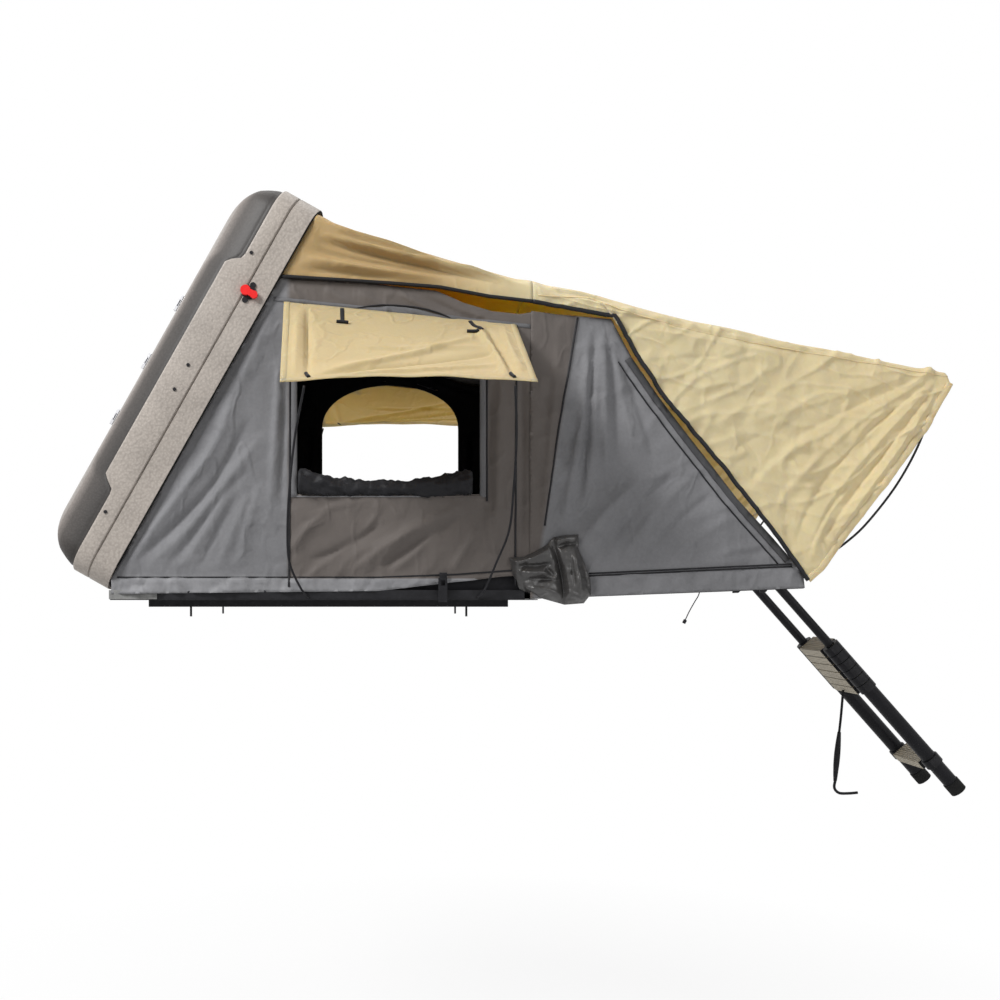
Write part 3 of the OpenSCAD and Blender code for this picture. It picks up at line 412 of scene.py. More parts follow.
def filled(outline, holes=(), step=0.02):
    """Triangles over a flat outline with holes: the points and the faces."""
    loops = [dense(loop, step) for loop in (outline, *holes)]
    points, edges = [], []
    for loop in loops:
        start = len(points)
        points += loop
        edges += [(start + i, start + (i + 1) % len(loop)) for i in range(len(loop))]
    low, high = np.min(loops[0], axis=0), np.max(loops[0], axis=0)
    inner = np.array([(low[0] + c * step + 0.5 * step * (r % 2), low[1] + r * step * ROW_RISE)
                      for r in range(int((high[1] - low[1]) / (step * ROW_RISE)) + 1)
                      for c in range(int((high[0] - low[0]) / step) + 1)])
    keep = in_cloth(inner, loops)
    for loop in loops:
        keep &= edge_distance(inner, loop) > 0.45 * step
    points += [tuple(p) for p in inner[keep]]
    done = geometry.delaunay_2d_cdt([Vector(p) for p in points], edges, [], 0, 1e-7)
    flat = np.array([tuple(v) for v in done[0]])
    faces = np.array(done[2])
    faces = faces[in_cloth(flat[faces].mean(axis=1), loops)]
    a, b, c = (flat[faces[:, k]] for k in range(3))
    turn = (b[:, 0] - a[:, 0]) * (c[:, 1] - a[:, 1]) - (b[:, 1] - a[:, 1]) * (c[:, 0] - a[:, 0])
    faces[turn < 0] = faces[turn < 0][:, ::-1]
    return flat, faces


def soft_step(value, low, high):
    t = np.clip((value - low) / (high - low), 0, 1)
    return t * t * (3 - 2 * t)


def folds(points, lines):
    """Sum of cloth folds. Each is (route, width, height), with the route's points one after the other.

    A fold is a ridge, steep on its left, that fades at both ends.
    """
    total = np.zeros(len(points))
    for route, width, height in lines:
        line = smooth_route(np.reshape(route, (-1, 2)) * THOUSANDTH, FOLD_STEP)
        width, height = width * THOUSANDTH, height * THOUSANDTH
        low, high = line.min(axis=0) - FOLD_REACH * width, line.max(axis=0) + FOLD_REACH * width
        near = np.flatnonzero(np.all((points > low) & (points < high), axis=1))
        best, along, left = np.full(len(near), np.inf), np.zeros(len(near)), np.zeros(len(near))
        for i, (start, end) in enumerate(zip(line, line[1:])):
            ahead = end - start
            t = np.clip(((points[near] - start) @ ahead) / (ahead @ ahead), 0, 1)
            off = points[near] - start - t[:, None] * ahead
            away = np.linalg.norm(off, axis=1)
            closer = away < best
            best = np.where(closer, away, best)
            along = np.where(closer, (i + t) / (len(line) - 1), along)
            left = np.where(closer, ahead[0] * off[:, 1] - ahead[1] * off[:, 0], left)
        spread = width * np.where(left > 0, STEEP, GENTLE)
        total[near] += height * np.exp(-((best / spread) ** 1.4)) * (1 - np.abs(2 * along - 1) ** 3)
    return total


def rumple(points, scale, height, seed):
    """Smooth random swell of a cloth."""
    return np.array([noise.noise(Vector((p[0] * scale, p[1] * scale, seed))) for p in points]) * height


def creases(points, scale, height, seed, turn=0.0, stretch=2.5):
    """Sharp small creases, stretched along one direction."""
    c, s = math.cos(turn), math.sin(turn)
    u = (points[:, 0] * c + points[:, 1] * s) * scale / stretch
    v = (-points[:, 0] * s + points[:, 1] * c) * scale
    value = np.array([noise.noise(Vector((a, b, seed))) for a, b in zip(u, v)])
    return (1 - np.abs(value) * 4.0).clip(0, 1) ** 2 * height


def crumple(points, scale, height, seed):
    """Angular folds of a crushed cloth: flat facets that meet in sharp lines."""
    total = np.zeros(len(points))
    for size, share in ((scale, 1.0), (2.1 * scale, 0.45)):
        value = [abs(noise.noise(Vector((p[0] * size, p[1] * size, seed * size)))) for p in points]
        total += share * np.array(value)
    return (total - 0.25) * height


def smooth_route(points, step):
    """A smooth line through the points, about step apart."""
    p = [np.array(q, float) for q in points]
    p = [2 * p[0] - p[1]] + p + [2 * p[-1] - p[-2]]
    found = []
    for i in range(1, len(p) - 2):
        n = max(2, int(np.linalg.norm(p[i + 1] - p[i]) / step))
        for k in range(n):
            t = k / n
            found.append(0.5 * (2 * p[i] + (p[i + 1] - p[i - 1]) * t
                                + (2 * p[i - 1] - 5 * p[i] + 4 * p[i + 1] - p[i + 2]) * t * t
                                + (3 * p[i] - p[i - 1] - 3 * p[i + 1] + p[i + 2]) * t ** 3))
    found.append(p[-2])
    return np.array(found)


def directions(route):
    """Unit steps along a route."""
    ahead = np.gradient(route, axis=0)
    return ahead / np.linalg.norm(ahead, axis=1)[:, None]


def ring_frames(route):
    """Two directions across a route at each of its points."""
    ahead = directions(route)
    across = []
    guide = np.array([0.0, 0.0, 1.0]) if abs(ahead[0][2]) < 0.9 else np.array([1.0, 0.0, 0.0])
    for t in ahead:
        side = guide - (guide @ t) * t
        guide = side / np.linalg.norm(side)
        across.append(guide)
    return np.array(across), np.cross(ahead, across)


def swept(name, rings, material):
    """Closed skin over rings of points."""
    count, sides = rings.shape[:2]
    last = (count - 1) * sides
    faces = grid_faces(count, sides, wrap=True)
    faces += [tuple(reversed(range(sides))), tuple(range(last, last + sides))]
    return add_mesh(name, rings.reshape(-1, 3), faces, material)


def tube_mesh(name, route, radius, material, sides=10):
    """Closed tube along a route. Radius is a number or one for each point."""
    route = np.array(route, float)
    across, up = ring_frames(route)
    turns = np.arange(sides)[:, None] * 2 * math.pi / sides
    around = np.cos(turns) * across[:, None] + np.sin(turns) * up[:, None]
    return swept(name, route[:, None] + np.reshape(radius, (-1, 1, 1)) * around, material)


def ribbon_mesh(name, route, width, thickness, out, material):
    """Flat band along a route. Out points away from what it lies on."""
    route = np.array(route, float)
    side = np.cross(directions(route), out)
    side *= width / 2 / np.linalg.norm(side, axis=1)[:, None]
    places, raised = np.array([[-1.0, -0.8, 0.8, 1.0], [0.0, 1.0, 1.0, 0.0]])[..., None]
    rings = route[:, None] + places * side[:, None] + raised * thickness * np.array(out)
    return swept(name, rings, material)


def joined(name, pieces):
    """One piece from several meshes."""
    bpy.ops.object.select_all(action="DESELECT")
    for piece in pieces:
        piece.select_set(True)
    bpy.context.view_layer.objects.active = pieces[0]
    bpy.ops.object.join()
    pieces[0].name = name
    pieces[0].data.name = name
    return pieces[0]


def polygon_area(outline):
    return abs(sum(ax * by - bx * ay for (ax, ay), (bx, by) in edges_of(outline))) / 2


def oblong(width, length):
    return [(0, 0), (width, 0), (width, length), (0, length)]


def declare(outline, hole=None, area=None):
    """Works out a sheet's area without the hole from its outline; nothing is kept or returned."""
    if area is None:
        area = polygon_area(outline) - (0.0 if hole is None else polygon_area(hole))


def rim_x(z):
    """Place along X of the lid's rim plane at height z."""
    return HINGE[0] + (z - HINGE[1]) / math.tan(LID_ANGLE)


def turned(x, z, pivot, angle):
    """A point in X and Z that starts at the pivot, turned about it."""
    c, s = math.cos(angle), math.sin(angle)
    return pivot[0] + x * c - z * s, pivot[1] + x * s + z * c


def in_lid(x, y, z):
    """A point of the lid's own frame, in the frame of the whole part."""
    x, z = turned(x, z, HINGE, LID_ANGLE)
    return x, y, z


def tilted(x, z):
    """Place in X and Z of a point of the level floor, once the floor stands up a little."""
    return turned(x - FOLD[0], z - FOLD[1], FOLD, FLOOR_UP)


# Rigid nodes that keep their CAD shape
WELD_GAP, EDGE_ANGLE = 0.00002, math.radians(40)


def dress(name, material, edge):
    """Gives a CAD node its finish, soft edges and shading."""
    node = nodes[name]
    node.data.materials.clear()
    node.data.materials.append(material)
    if "custom_normal" in node.data.attributes:
        node.data.attributes.remove(node.data.attributes["custom_normal"])
    node.data.polygons.foreach_set("use_smooth", [True] * len(node.data.polygons))
    node.modifiers.new("weld", "WELD").merge_threshold = WELD_GAP
    bevel = node.modifiers.new("edge", "BEVEL")
    bevel.width = edge
    bevel.segments = 2
    bevel.limit_method = "ANGLE"
    bevel.angle_limit = EDGE_ANGLE
    bevel.harden_normals = True
    return node


# Finish, width of the softened edges, and the nodes that have them
FINISHES = (
    (mat_black_metal, 0.0012, ("mount_rails", "base_skin", "base_frame", "floor_frame", "lid_hinge_base",
                               "floor_hinge_base", "lid_hinge_lid", "floor_hinge_floor", "hoop_brackets",
                               "ladder_blocks", "ladder_head", "strut_base_brackets", "strut_lid_brackets",
                               "strut_cylinders")),
    (mat_steel, 0.0005, ("hinge_pins",)),
    (mat_black_metal, 0.0005, ("rack_bolts",)),
    (mat_black_plastic, 0.0008, ("latch_keepers", "lid_rivets", "catch_plates")),
    (mat_alu, 0.0012, ("hood_rod_plates", "lid_fittings", "hoop")),
    (mat_panel, 0.0012, ("base_panel", "floor_panel")),
    (mat_grey_paint, 0.0012, ("base_corners",)),
    (mat_bright, 0.0006, ("strut_rods",)),
    (mat_rubber, 0.003, ("ladder_feet",)),
    (mat_pad, 0.003, ("lid_liner",)),
    (mat_shell, 0.0025, ("lid_rim",)),
    (mat_red, 0.003, ("catch_near", "catch_far")))
for finish, soft_edge, finish_nodes in FINISHES:
    for finish_node in finish_nodes:
        dress(finish_node, finish, soft_edge)

# Ladder sections: black tubes and collars, ribbed treads between them
TREAD_END, TREAD_OUT, COLLAR_OUT = 0.0335, 0.0345, 0.0299
for ladder_node in [f"ladder_{k}" for k in range(1, 8)] + ["ladder_bottom_rung"]:
    section = dress(ladder_node, mat_tube, 0.001)
    section.data.materials.append(mat_tread)
    section.data.materials.append(mat_collar)
    for face in section.data.polygons:
        from_rail = max(abs(abs(section.data.vertices[v].co.y) - RAIL_Y) for v in face.vertices)
        if abs(face.center.y) < RAIL_Y - TREAD_END or from_rail > TREAD_OUT:
            face.material_index = 1
        elif from_rail > COLLAR_OUT:
            face.material_index = 2


# Hard lid: the shell with its neck, band, wings and sloped dome
RIM_TOP, BAND_LOW, BAND_TOP, WING_TOP, CAP = 0.075, 0.081, 0.139, 0.186, 0.286
LID_RADIUS, LEAST_RADIUS = 0.090, 0.05
LONG_STEPS, CROSS_STEPS, CORNER_STEPS, DOME_STEPS = 72, 30, 10, 20
WING = (0.330, 1.150, 0.045)
# The dome's curve as pull inwards and height: at the band, at its bend and at the flat cap
DOME = (0.006, BAND_TOP), (0.052, CAP + 0.002), (0.17, CAP)
# The rim's neck and the band's rounded upper edge as pull inwards and height
NECK = ((0.013, RIM_TOP - 0.004), (0.008, RIM_TOP), (0.008, BAND_LOW - 0.002), (0.004, BAND_LOW - 0.0005),
        (0.0005, BAND_LOW + 0.001), (0.0, BAND_LOW + 0.004))
BAND_EDGE = ((0.0, -0.006), (0.0006, -0.003), (0.003, -0.0006), (0.006, 0.0))
# Rings at which the slope, the turn and the top start
LID_ZONES = (9, 21, 23)
# Depth of the ledge at the dome's foot, rise of the top, and half width of its innermost ring
LEDGE, CROWN, CROWN_HALF = 0.004, 0.004, 0.07
# How far from the lid's sides the band may still have wings
WING_REACH = 0.2


def lid_plan(inset):
    """Points of the lid's plan, pulled in by inset: each side, then the round corner at its end."""
    x0, x1, y = LID_X[0] + inset, LID_X[1] - inset, LID_Y - inset
    r = max(LID_RADIUS - inset, LEAST_RADIUS)
    corners = [(x1 - r, r - y), (x1 - r, y - r), (x0 + r, y - r), (x0 + r, r - y)]
    turns = np.linspace(0, math.pi / 2, CORNER_STEPS, endpoint=False)
    points = []
    for k, (x, y) in enumerate(corners):
        from_x, from_y = corners[k - 1]
        out = math.pi * (k - 1) / 2
        count = CROSS_STEPS if k % 2 else LONG_STEPS
        shift_x, shift_y = r * math.cos(out), r * math.sin(out)
        points += [(from_x + (x - from_x) * n / count + shift_x, from_y + (y - from_y) * n / count + shift_y)
                   for n in range(count)]
        points += [(x + r * math.cos(out + turn), y + r * math.sin(out + turn)) for turn in turns]
    return points


def band_top(x, y):
    """Upper edge of the band: higher along the wings on the long sides."""
    on_side = abs(y) > LID_Y - WING_REACH
    rise = soft_step(x, WING[0] - WING[2], WING[0]) * (1 - soft_step(x, WING[1], WING[1] + WING[2]))
    return BAND_TOP + (WING_TOP - BAND_TOP) * rise * on_side


def dome_curve(t):
    """Pull inwards and height along the dome, from the band at 0 round to the flat cap at 1."""
    return tuple((1 - t) ** 2 * a + 2 * t * (1 - t) * b + t * t * c for a, b, c in zip(*DOME))


def dome_start(z):
    """Where along the dome's curve the height z lies."""
    a, b, c = (height for _, height in DOME)
    k = a - 2 * b + c
    return (a - b + math.sqrt((b - a) ** 2 - k * (a - z))) / k


def lid_rings():
    """Rings of points from the rim up to the middle of the top."""
    rings = [[(x, y, z) for x, y in lid_plan(pull)] for pull, z in NECK]
    rings += [[(x, y, band_top(x, y) + z) for x, y in lid_plan(pull)] for pull, z in BAND_EDGE]
    starts = [dome_start(band_top(x, y)) for x, y in lid_plan(0.0)]
    for k in range(DOME_STEPS + 1):
        curve = [dome_curve(start + (1 - start) * k / DOME_STEPS) for start in starts]
        ledge = LEDGE if k == 0 else 0.0
        pulls = [round(pull + ledge, 4) for pull, _ in curve]
        plans = {pull: lid_plan(pull) for pull in set(pulls)}
        rings.append([(*plans[pull][n], z) for n, (pull, (_, z)) in enumerate(zip(pulls, curve))])
    flat = DOME[2][0]
    for share in (0.12, 0.3, 0.5, 0.7, 0.9):
        z = CAP + CROWN * math.sin(share * math.pi / 2)
        rings.append([(x, y, z) for x, y in lid_plan(flat + (LID_Y - flat - CROWN_HALF) * share)])
    return rings


def lid_shell_piece():
    rings = lid_rings()
    count = len(rings[0])
    points = [in_lid(*p) for ring in rings for p in ring]
    faces = grid_faces(len(rings), count, wrap=True)
    faces.append(tuple(range((len(rings) - 1) * count, len(rings) * count)))
    shell = add_mesh("lid_hard_shell", points, faces, mat_shell)
    for material in (mat_slope_painted_shade, mat_turn_painted_shade, mat_top):
        shell.data.materials.append(material)
    first, slope_rings = LID_ZONES[0] + 1, LID_ZONES[1] - LID_ZONES[0] - 1
    # Painted shade: tone rises from 0 at the slope's foot to 1 at its top, so the slope is darkest by the
    # band.
    tone = shell.data.attributes.new("tone", "FLOAT", "POINT")
    tone.data.foreach_set("value", np.clip((np.arange(len(points)) // count - first) / slope_rings, 0, 1))
    # From the rim up: shell, then slope and turn with painted shade, then the top.
    for face in shell.data.polygons:
        face.material_index = sum(face.index // count >= start for start in LID_ZONES)
    thicken(shell, SHELL_WALL)
    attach(shell, "lid")
    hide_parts("lid_shell")


lid_shell_piece()


def rim_seal_piece():
    """Black edge strip under the rim, along both sides and the free end."""
    ring = [in_lid(x, y, 0.0) for x, y in lid_plan(0.005)]
    across = 2 * LONG_STEPS + CROSS_STEPS + 2 * CORNER_STEPS
    seal = tube_mesh("rim_seal", ring[:across], 0.004, mat_rubber, 8)
    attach(seal, "lid")


rim_seal_piece()


# Soft goods
SIDES = (("near", -1), ("far", 1))
CLOTH_STEP, TRIM_STEP = 0.010, 0.015
SKIRT_TOP, SKIRT_OUT = 0.098, 0.006
# Widths over which folds fade to a hem and to a seam, and how near its side plane the fly counts as side
HEM_FADE, SEAM_FADE, SHOULDER = 0.045, 0.06, 0.012
WINDOW = {"x": (-0.091, 0.529), "z": (0.384, 0.80), "rise": 0.20}
WALL_TOP = [(rim_x(1.118) + 0.001, 1.118), (0.180, 1.096), (0.383, 1.073), (0.475, 1.032), (0.570, 1.004),
            (0.665, 0.994), (0.712, 1.002)]
WALL = [(-0.719, 0.046), (0.19, 0.056), (0.60, 0.104), (0.690, 0.110), (0.712, 0.160)] + WALL_TOP[::-1]
WALL.append((rim_x(0.1) + 0.001, 0.100))
WALL_FOLDS = (
    ((-690, 120, -447, 439, -362, 571, -288, 761), 22, 16),
    ((-655, 138, -477, 307, -362, 439, -250, 646), 16, -13),
    ((-600, 137, -467, 261, -345, 412, -193, 602), 22, 13),
    ((-532, 137, -447, 242, -355, 364, -260, 476), 14, -10), ((-490, 137, -400, 262, -310, 430), 20, 10),
    ((-420, 137, -360, 262, -288, 391), 14, -9), ((-365, 130, -308, 262, -250, 400), 18, 8),
    ((-290, 130, -260, 280, -215, 420), 16, 8), ((-540, 420, -400, 660, -300, 880), 16, -9),
    ((-300, 720, -200, 950, -160, 1030), 25, 7), ((-185, 330, -165, 600, -150, 860), 14, 12),
    ((-150, 300, -140, 550, -130, 800), 10, -10), ((543, 350, 552, 550, 566, 760), 13, -16),
    ((580, 140, 588, 500, 600, 850), 22, 12), ((668, 150, 672, 500, 668, 920), 16, -12),
    ((82, 113, 250, 235, 475, 352), 22, 12), ((150, 113, 330, 225, 500, 330), 16, -9),
    ((-110, 190, -60, 265, 20, 330), 18, 10), ((-80, 150, 60, 200, 200, 290), 18, -9),
    ((221, 120, 300, 180, 400, 275), 14, 9), ((428, 120, 470, 190, 520, 270), 14, 11),
    ((600, 130, 560, 240, 550, 340), 14, 10), ((0, 1085, 60, 1050, 120, 1020), 10, 8),
    ((120, 1075, 200, 1020, 280, 985), 10, 10), ((250, 1075, 360, 1010, 460, 975), 11, 14),
    ((340, 1060, 450, 1000, 560, 965), 10, -12), ((450, 1020, 550, 985, 640, 970), 10, 10),
    ((-120, 1090, -80, 1050, -50, 1020), 12, 7))


def window_outline(grow=0.0, count=28):
    """Window with straight sides and a flat arch, grown outwards by grow."""
    (x0, x1), (z0, z1) = WINDOW["x"], WINDOW["z"]
    x0, x1, z0, rise = x0 - grow, x1 + grow, z0 - grow, WINDOW["rise"] + grow
    middle, half = (x0 + x1) / 2, (x1 - x0) / 2
    arch = [(middle + half * math.cos(t), z1 + rise * math.sin(t) ** 0.9)
            for t in np.linspace(0.0, math.pi, count)]
    return [(x0, z0), (x1, z0)] + arch


def facing(faces, side):
    """Faces whose normals point out of the tent on that side."""
    return [tuple(f) if side < 0 else tuple(f[::-1]) for f in faces]


def wall_out(flat, side):
    """How far the wall's cloth stands out of its plane at points in X and Z."""
    held = soft_step(edge_distance(flat, WALL), 0.0, HEM_FADE)
    by_window = soft_step(edge_distance(flat, window_outline()), 0.0, 0.05)
    under = soft_step(flat[:, 0], -0.14, -0.08) * (1 - soft_step(flat[:, 1], 0.36, 0.44))
    out = (1 + 0.5 * under) * folds(flat, WALL_FOLDS) + rumple(flat, 6.0, 0.004, 2.0 * side)
    out += crumple(flat, 8.0, 0.006, 5.0 * side) + under * creases(flat, 9.0, 0.006, 3.0 * side, 0.7)
    skirt = SKIRT_OUT + crumple(flat, 13.0, 0.022, 4.0 * side)
    skirt *= 1 - soft_step(flat[:, 1], 0.092, 0.103)
    return out * held * (0.35 + 0.65 * by_window) + skirt


def cloth_points(flat, side, plane, out, lift=0.0):
    """Places on a side's cloth of points in X and Z. Out says how far it stands out of its plane."""
    flat = np.array(flat, float)
    return np.stack([flat[:, 0], side * (plane + 0.001 + lift + out(flat, side)), flat[:, 1]], axis=1)


def rides_wall(piece, word):
    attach(piece, "wall_body_" + word)
    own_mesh(piece)


def wall_piece(word, side):
    hole = window_outline()
    flat, faces = filled(WALL, [hole], CLOTH_STEP)
    points = cloth_points(flat, side, WALL_Y, wall_out)
    wall = add_mesh("tent_wall_" + word, points, facing(faces, side), mat_wall)
    wall.data.materials.append(mat_lining)
    wall.data.materials.append(mat_skirt_painted_light)
    # Faces of the skirt take the lighter grey as painted light, the rest the wall's cloth.
    for face in wall.data.polygons:
        face.material_index = 2 if face.center.z < SKIRT_TOP else 0
    thicken(wall, WALL_CLOTH, mat_lining)
    rides_wall(wall, word)
    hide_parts("wall_" + word)

    def over(points, lift=SEAM_LIFT):
        return cloth_points(dense(points, TRIM_STEP, closed=False), side, WALL_Y, wall_out, lift)

    out = (0, side, 0)
    (x0, x1), sill = WINDOW["x"], WINDOW["z"][0] - 0.008
    tape, zipper = (loop[1:] + loop[:1] for loop in (window_outline(0.010), window_outline(0.024)))
    flap = [(x, side * (WALL_Y - 0.022), 0.086) for x in np.linspace(-0.69, 0.70, 30)]
    band = [(rim_x(1.045) + 0.02, 1.045), (0.10, 1.018), (0.651, 0.957), (0.70, 0.953)]
    hem = [(-0.70, 0.102), (0.19, 0.102), (0.45, 0.112), (0.678, 0.128)]
    strap = [(0.404, side * (WALL_Y + 0.014), 0.118), (0.404, side * (BASE_Y + 0.012), 0.085),
             (0.406, side * (BASE_Y + 0.010), 0.030)]
    trims = [ribbon_mesh("window_tape", over(tape, 0.0005), 0.022, 0.003, out, mat_dark_cloth),
             tube_mesh("window_zip", over(zipper, 0.002), 0.0030, mat_zip, 6),
             tube_mesh("sill_seam", over([(x0 - 0.02, sill), (x1 + 0.02, sill)]), 0.0025, mat_side_painted_light, 6),
             ribbon_mesh("sill_flap", flap, 0.080, 0.003, out, mat_lining)]
    for x, low, high in ((-0.118, 0.070, 0.985), (0.648, 0.075, 0.955)):
        trims.append(tube_mesh("panel_seam", over([(x, low), (x + 0.006, high)]), 0.0035, mat_zip, 6))
    trims += [ribbon_mesh("band_hem", over(band, 0.0008), 0.014, 0.0025, out, mat_dark_cloth),
              tube_mesh("skirt_seam", over(hem, 0.0), 0.003, mat_zip, 6),
              ribbon_mesh("skirt_strap", smooth_route(strap, 0.01), 0.026, 0.003, out, mat_webbing)]
    trim = joined("wall_trim_" + word, trims)
    rides_wall(trim, word)
    declare(WALL, hole)


# The near awning's cloth holds painted shade, the far one's painted light.
AWNINGS = {"near": {"reach": 0.401, "low": 0.690, "spread": 0.0, "cloth": mat_awning_painted_shade},
           "far": {"reach": 0.330, "low": 0.860, "spread": 0.070, "cloth": mat_awning_far_painted_light}}
AWNING_LEAN = 0.6
AWNING_FOLDS = (
    ((120, 960, 450, 660, 840, 220), 30, 12), ((160, 970, 500, 760, 920, 500), 25, -12),
    ((200, 980, 550, 880, 900, 720), 25, 9), ((100, 40, 105, 970), 12, -14), ((60, 100, 55, 950), 20, 9),
    ((820, 50, 860, 500, 885, 950), 18, 16), ((860, 50, 890, 500, 910, 950), 12, -14),
    ((930, 100, 945, 900), 15, 10), ((300, 500, 850, 420), 30, 6), ((200, 20, 800, 50), 20, -4))


def awning_surface(word, u, v):
    """Points of the awning's cloth, as X, distance from the base and Z: u along it, v outwards."""
    reach, low = AWNINGS[word]["reach"], AWNINGS[word]["low"]
    corners = (-0.135, 0.002, 1.035), (0.651, 0.002, 0.957), (0.677, reach, low), (-0.110, reach, low)
    a, b, c, d = (np.array(corner) for corner in corners)
    uv = np.stack([u, v], axis=1)
    u, v = uv[:, :1], uv[:, 1:]
    p = (1 - v) * ((1 - u) * a + u * b) + v * ((1 - u) * d + u * c)
    sag = 0.020 * np.sin(np.pi * u) * np.sin(np.pi * v) - 0.018 * np.sin(np.pi * u) * v * v
    lift = (folds(uv, AWNING_FOLDS) + rumple(uv, 7.0, 0.003, 4.0)) * soft_step(uv[:, 1], 0.0, 0.08)
    p[:, 2] += lift - sag[:, 0]
    p[:, 1] += AWNING_LEAN * lift
    return p


def awning_piece(word, side):
    def along(u, v, lift=0.0):
        p = awning_surface(word, *np.broadcast_arrays(u, v))
        return np.stack([p[:, 0], side * (BASE_Y + p[:, 1] + AWNING_LEAN * lift), p[:, 2] + lift], axis=1)

    rows, columns = 110, 56
    u, v = np.meshgrid(np.linspace(0, 1, rows), np.linspace(0, 1, columns), indexing="ij")
    faces = facing(grid_faces(rows, columns), -side)
    cloth = AWNINGS[word]["cloth"]
    awning = add_mesh("window_awning_" + word, along(u.ravel(), v.ravel()), faces, cloth)
    thicken(awning, THIN_CLOTH)
    rides_wall(awning, word)
    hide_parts("awning_" + word)
    out = np.array([0, side * AWNING_LEAN, 0.8])
    steps = np.linspace(0, 1, 60)
    hem = joined("awning_hem_" + word, [
        ribbon_mesh("hem", along(u, v, 0.0006), width, 0.0018, out, cloth)
        for u, v, width in ((steps, 0.975, 0.022), (0.985, steps, 0.018), (0.015, steps, 0.018))])
    rides_wall(hem, word)
    straps = []
    for place, lean in ((0.25, 0.0), (0.80, 0.04)):
        strap = along(np.linspace(place, place + lean, 12), np.linspace(0.02, 0.20, 12), SEAM_LIFT)
        straps.append(ribbon_mesh("strap", strap, 0.014, 0.003, out, mat_webbing))
        cross = along(np.linspace(place - 0.025, place + 0.025, 8), 0.20, 0.005)
        straps.append(tube_mesh("toggle", cross, 0.006, mat_black_plastic, 8))
    for place in (0.10, 0.90):
        tip = along(np.linspace(place, place + 0.012, 6), np.linspace(0.91, 0.97, 6), 0.004)
        straps.append(tube_mesh("rod_hook", tip, 0.006, mat_black_plastic, 8))
    toggles = joined("awning_toggles_" + word, straps)
    rides_wall(toggles, word)
    declare(oblong(0.79, 0.50))


# Upper bends of an awning's rod: share of the way to its tip, of the bow, of the reach and of the height
ROD_BENDS = ((0.35, 1.0, 0.28, 0.37), (0.55, 0.85, 0.46, 0.56), (0.8, 0.5, 0.72, 0.79))


def awning_rod_piece(word, side):
    """Two bent rods from the base's side up to the awning's outer edge."""
    reach, low, spread = (AWNINGS[word][key] for key in ("reach", "low", "spread"))
    rods = []
    ends = (-0.068, -0.050 - spread, -0.036 - spread), (0.066, 0.520 + spread, 0.608 + spread)
    for bow, foot, tip in ends:
        route = [(foot, 0.004, 0.034), (foot + 0.35 * bow, 0.020, 0.060), (foot + 0.9 * bow, 0.060, 0.150)]
        route += [((1 - t) * foot + t * tip + b * bow, y * reach, z * low) for t, b, y, z in ROD_BENDS]
        route.append((tip, 0.985 * reach, low - 0.010))
        route = [(x, side * (BASE_Y + y), z) for x, y, z in route]
        rods.append(tube_mesh("rod", smooth_route(route, 0.02), 0.0038, mat_black_metal, 10))
    rod = joined("awning_rod_" + word, rods)
    rides_wall(rod, word)
    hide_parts("awning_rods_" + word)


def window_roll_piece(word, side):
    """The window's cover, rolled down and tied at the sill."""
    (x0, x1), z = WINDOW["x"], WINDOW["z"][0]
    rows, sides = 90, 28
    rings = np.empty((rows, sides, 3))
    for i, away in enumerate(np.linspace(-1, 1, rows)):
        x = x0 + 0.004 + (x1 - x0 - 0.03) * (away + 1) / 2
        radius = (0.026 + 0.018 * away * away) * (0.75 if i in (0, rows - 1) else 1)
        middle = z + 0.020 + 0.022 * away * away
        for k in range(sides):
            c, s = math.cos(2 * math.pi * k / sides), math.sin(2 * math.pi * k / sides)
            lump = 1 + 0.34 * noise.noise(Vector((x * 28, c * 1.6, s * 1.6 + side)))
            lump += 0.26 * noise.noise(Vector((x * 70, c * 3, s * 3 + 7 * side)))
            r = radius * lump
            rings[i, k] = x, side * (WALL_Y - 0.004 + 0.8 * r * c), middle + r * s
    roll = swept("window_cover_roll_" + word, rings[:, ::side], mat_mesh)
    rides_wall(roll, word)
    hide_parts("window_roll_" + word)


for tent_word, tent_side in SIDES:
    wall_piece(tent_word, tent_side)
    awning_rod_piece(tent_word, tent_side)
    awning_piece(tent_word, tent_side)
    window_roll_piece(tent_word, tent_side)


# Rain fly: one cloth over roof and sides, first to the hoop, then over the entrance
FLY_TOP = [(-0.0226, 1.339), (0.150, 1.268), (0.420, 1.191), (0.708, 1.118)]
FLY_LOW = [(-0.1459, 1.120), (0.180, 1.100), (0.394, 1.083), (0.560, 1.052), (0.708, 1.035)]
HOOD_TOP = [(0.708, 1.118), (0.936, 1.070), (1.248, 0.985), (1.621, 0.900), (1.950, 0.832), (2.102, 0.800)]
HOOD_BACK = [(0.708, 1.035), (0.985, 0.986), (1.070, 0.837), (1.165, 0.693), (1.249, 0.597), (1.354, 0.472),
             (1.429, 0.377), (1.535, 0.238), (1.598, 0.154), (1.640, 0.092)]
HOOD_FRONT = [(1.640, 0.092), (1.682, 0.130), (1.777, 0.262), (1.916, 0.446), (2.037, 0.610), (2.118, 0.760)]


def along_line(points, count):
    """Points at even steps along a line of points."""
    p = np.array(points, float)
    away = np.concatenate([[0], np.cumsum(np.linalg.norm(np.diff(p, axis=0), axis=1))])
    steps = np.linspace(0, away[-1], count)
    return np.stack([np.interp(steps, away, p[:, i]) for i in range(p.shape[1])], axis=1)


